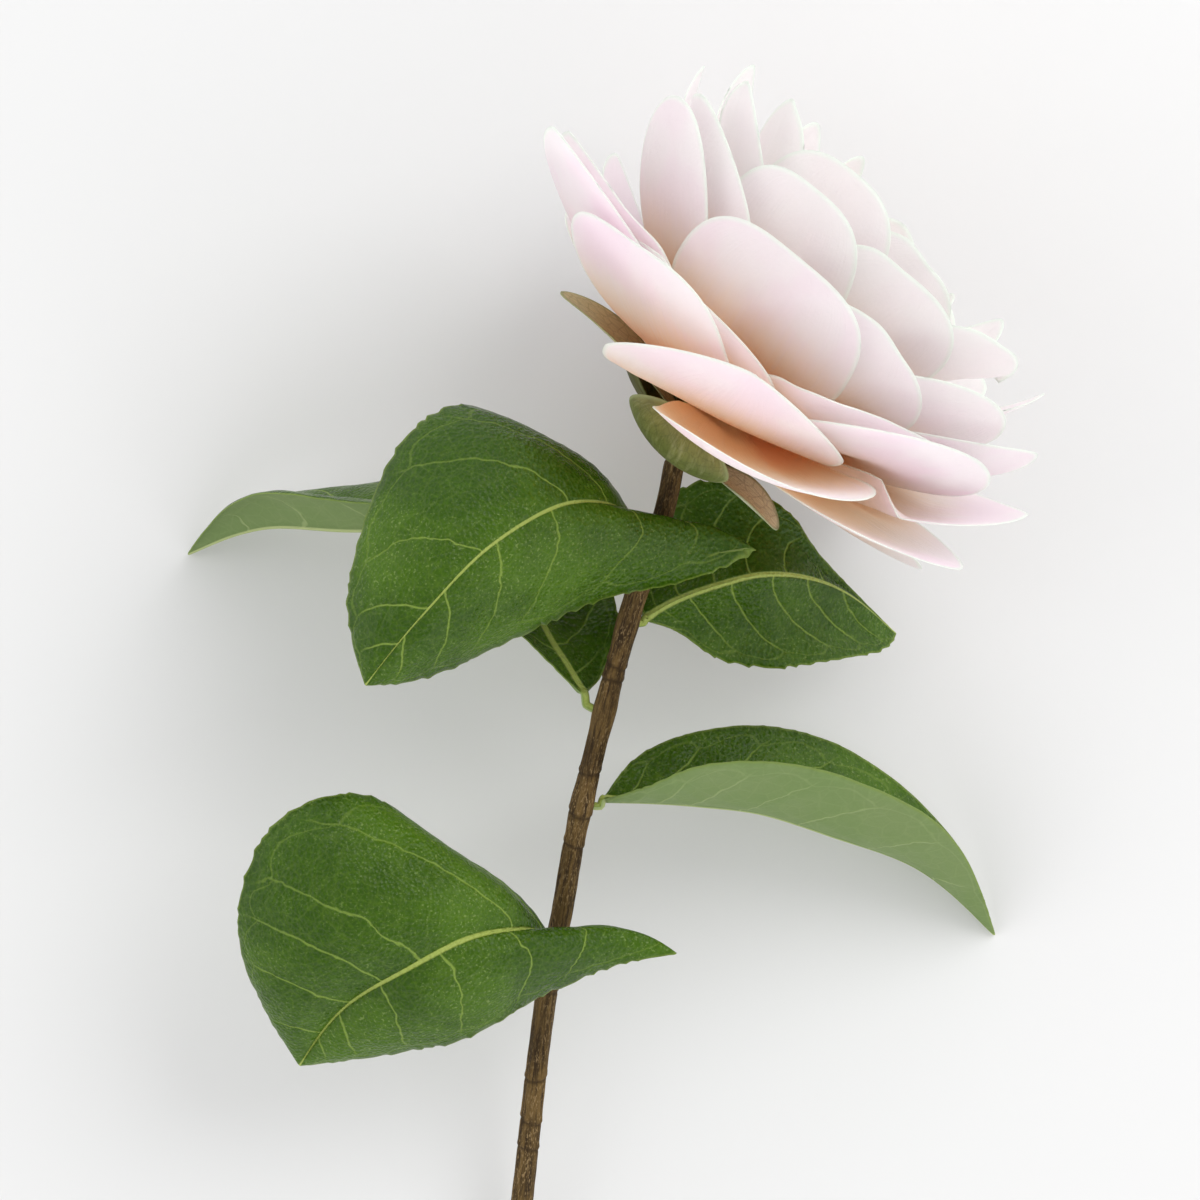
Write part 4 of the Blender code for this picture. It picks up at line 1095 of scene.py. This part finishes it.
def bark_relief(angle, length, y):
    """How far the bark stands out, and how near each point is to a ring scar and to a blotch."""
    ridges = (0.055 * np.sin(angle * 5 + length * 0.11) + 0.04 * np.sin(angle * 9 - length * 0.23 + 1)
              + 0.03 * np.sin(angle * 3 + length * 0.5) * np.sin(length * 0.9))
    ring, blotch = np.zeros_like(ridges), np.zeros_like(ridges)
    for number, place in enumerate(RING_SCARS):
        off = y - place - 0.35 * np.sin(angle + number * 1.7)
        scar = np.exp(-(off / SCAR_WIDTH) ** 2)
        ring = np.maximum(ring, scar)
        ridges = ridges + LIP_HEIGHT * np.exp(-((off - LIP_PLACE) / LIP_WIDTH) ** 2) - SCAR_DEPTH * scar
    for number, place in enumerate(BLOTCHES):
        around = 0.5 + 0.5 * np.cos(angle - number * 2.2 - 1.1)
        near = np.exp(-((y - place) / BLOTCH_LENGTH) ** 2) * around
        blotch = np.maximum(blotch, near)
    return ridges, ring, blotch


def end_caps(shell, line):
    """Points and faces of both flat ends, in discs that shrink toward the middle."""
    points, faces = [], []
    count = shell[..., 0].size
    for end, step in ((0, -1), (-1, 1)):
        discs = line[end] + (shell[end] - line[end])[None] * CAP_SHARES[:, None, None]
        points.append(np.concatenate([discs.reshape(-1, 3), line[end][None]]))
        disc = count + np.arange(discs[..., 0].size).reshape(-1, STEM_SIDES)
        count += len(points[-1])
        fan = np.stack([disc[-1], np.roll(disc[-1], -1), np.full(STEM_SIDES, count - 1)], -1)
        faces += [face[::step] for face in ring_walls(disc).tolist() + fan.tolist()]
    return points, faces


def add_stem(bark, wood):
    """The stem: ridged bark with ring scars, swollen where leaves leave it, cut clean at its end."""
    line, radius = stem_path()
    heading = unit(np.gradient(line, axis=0))
    first = unit(np.cross(heading, (1.0, 0, 0)))
    second = np.cross(heading, first)
    angle = np.arange(STEM_SIDES) * 2 * np.pi / STEM_SIDES
    length = np.linspace(0, 1, len(line))[:, None] * GRAIN_LENGTH
    ridges, ring, blotch = bark_relief(angle, length, line[:, 1][:, None])
    size = radius[:, None] + ridges
    size[-2:] -= CUT_EDGE[:, None]
    shell = (line[:, None] + size[..., None] * (np.cos(angle)[None, :, None] * first[:, None]
                                                + np.sin(angle)[None, :, None] * second[:, None]))
    shell[..., 2] = np.maximum(shell[..., 2], 0.02)
    walls = ring_walls(np.arange(ring.size).reshape(ring.shape)).tolist()
    caps, cap_faces = end_caps(shell, line)
    around = stacked(np.cos(angle) * radius[:, None], np.sin(angle) * radius[:, None], length)
    cap_marks = stacked(np.append(np.repeat(CAP_SHARES, STEM_SIDES), 0.0), 0.0, 0.0)
    tags = {"grain": np.concatenate([around.reshape(-1, 3), *caps]),
            "marks": np.concatenate([stacked(ring, blotch, 0.0).reshape(-1, 3), cap_marks, cap_marks])}
    picks = np.repeat([0, 1], [len(walls), len(cap_faces)]).astype(np.int32)
    points = np.concatenate([shell.reshape(-1, 3), *caps])
    piece = add_piece("shown_stem", points, walls + cap_faces, [bark, wood], picks, tags)
    ride_for(piece, "stem")


def add_receptacle(sepal):
    """The core that carries the sepals and petals, turned smooth."""
    knots = np.arange(len(RECEPTACLE) + 2)
    ends = [(RECEPTACLE[0][0] - CORE_END, CORE_TIP), (RECEPTACLE[-1][0] + CORE_END, CORE_TIP)]
    profile = through(knots, [ends[0], *RECEPTACLE, ends[1]], np.linspace(0, knots[-1], CORE_RINGS))
    angle = np.linspace(0, 2 * np.pi, CORE_SIDES + 1)[:-1]
    uneven = 1 + 0.02 * np.sin(angle * 11) + 0.015 * np.sin(angle * 7)
    size = np.maximum(profile[:, 1], CORE_TIP)[:, None] * uneven
    shell = stacked(size * np.cos(angle), size * np.sin(angle), profile[:, :1]) @ head_matrix().T + HEAD
    number = np.arange(size.size).reshape(size.shape)
    faces = ring_walls(number).tolist() + [number[0, ::-1].tolist(), number[-1].tolist()]
    share = np.linspace(0, 1, len(profile))[:, None] * np.ones(len(angle))
    tags = {"place": stacked(np.cos(angle), share, FAR_FROM_RIM),
            "tone": stacked(OTHER_SEPAL_TONE, share * 0, 0.0)}
    picks = np.zeros(len(faces), np.int32)
    piece = add_piece("shown_receptacle", shell.reshape(-1, 3), faces, [sepal], picks, tags)
    ride_for(piece, "receptacle")


# ---- studio ----
EYE_HEIGHT = 1048.0  # of the camera above the surface
VIEW_LENS, SENSOR = 180.0, 36.0  # so that the view is 200 mm wide, 1000 mm in front of the camera
SKY_OVERHEAD, SKY_LOW = 0.56, 1.60  # brightness of the sky straight above, and near the horizon
FLOOR_COLOUR, FLOOR_GRAIN = (0.785, 0.785, 0.785), (0.76, 0.76, 0.76)
FLOOR_SIZE = 8.0  # metres
LIGHTS = {  # place in metres from the flower, watts, width in metres
    "key": ((0.80, 0.75, 1.10), 9.0, 1.1),
    "fill": ((-1.1, 0.2, 0.9), 2.4, 1.2),
    "low": ((0.75, -1.10, 0.60), 2.0, 1.0),
}


def add_floor():
    """Pale paper, flat on the surface."""
    half = FLOOR_SIZE / 2
    mesh = bpy.data.meshes.new("floor")
    corners = [(x * half, y * half, 0) for x, y in ((-1, -1), (1, -1), (1, 1), (-1, 1))]
    mesh.from_pydata(corners, [], [(0, 1, 2, 3)])
    paper = Shader("floor_paper")
    grain = paper.between(paper.noise(paper.place(), 400.0), 0.4, 0.6, 0.0, 0.02)
    mesh.materials.append(paper.finish(paper.mix(grain, FLOOR_COLOUR, FLOOR_GRAIN), None, 0.9, 0.1))
    linked("floor", mesh)


def add_sky():
    """A white sky, brighter near the horizon."""
    world = bpy.data.worlds.new("studio")
    world.use_nodes = True
    tree = world.node_tree
    sky = tree.nodes["Background"].inputs
    sky["Color"].default_value = (1, 1, 1, 1)
    coordinates = tree.nodes.new("ShaderNodeTexCoord")
    parts = tree.nodes.new("ShaderNodeSeparateXYZ")
    ramp = tree.nodes.new("ShaderNodeMapRange")
    ramp.inputs["To Min"].default_value = SKY_LOW
    ramp.inputs["To Max"].default_value = SKY_OVERHEAD
    tree.links.new(coordinates.outputs["Generated"], parts.inputs[0])
    tree.links.new(parts.outputs["Z"], ramp.inputs["Value"])
    tree.links.new(ramp.outputs["Result"], sky["Strength"])
    bpy.context.scene.world = world


def add_studio():
    """A pale floor, soft light and the camera straight above."""
    add_floor()
    add_sky()
    for name, (place, watts, width) in LIGHTS.items():
        light = bpy.data.lights.new(name, "AREA")
        light.shape, light.size, light.energy = "DISK", width, watts
        lamp = linked(name, light)
        lamp.location = place
        lamp.rotation_euler = (-Vector(place)).to_track_quat("-Z", "Y").to_euler()
    eye = bpy.data.cameras.new("eye")
    eye.lens, eye.sensor_width = VIEW_LENS, SENSOR
    camera = linked("eye", eye)
    camera.location = (ORIGIN[0] * MM, ORIGIN[1] * MM, EYE_HEIGHT * MM)
    bpy.context.scene.camera = camera
    bpy.context.scene.view_settings.view_transform = "Standard"


def show():
    """Everything."""
    sepal = sepal_material()
    add_petals(petal_material(), sepal)
    add_receptacle(sepal)
    add_leaves(leaf_material(), under_leaf_material())
    add_stem(bark_material(), cut_material())
    add_studio()
    bpy.context.view_layer.update()


show()
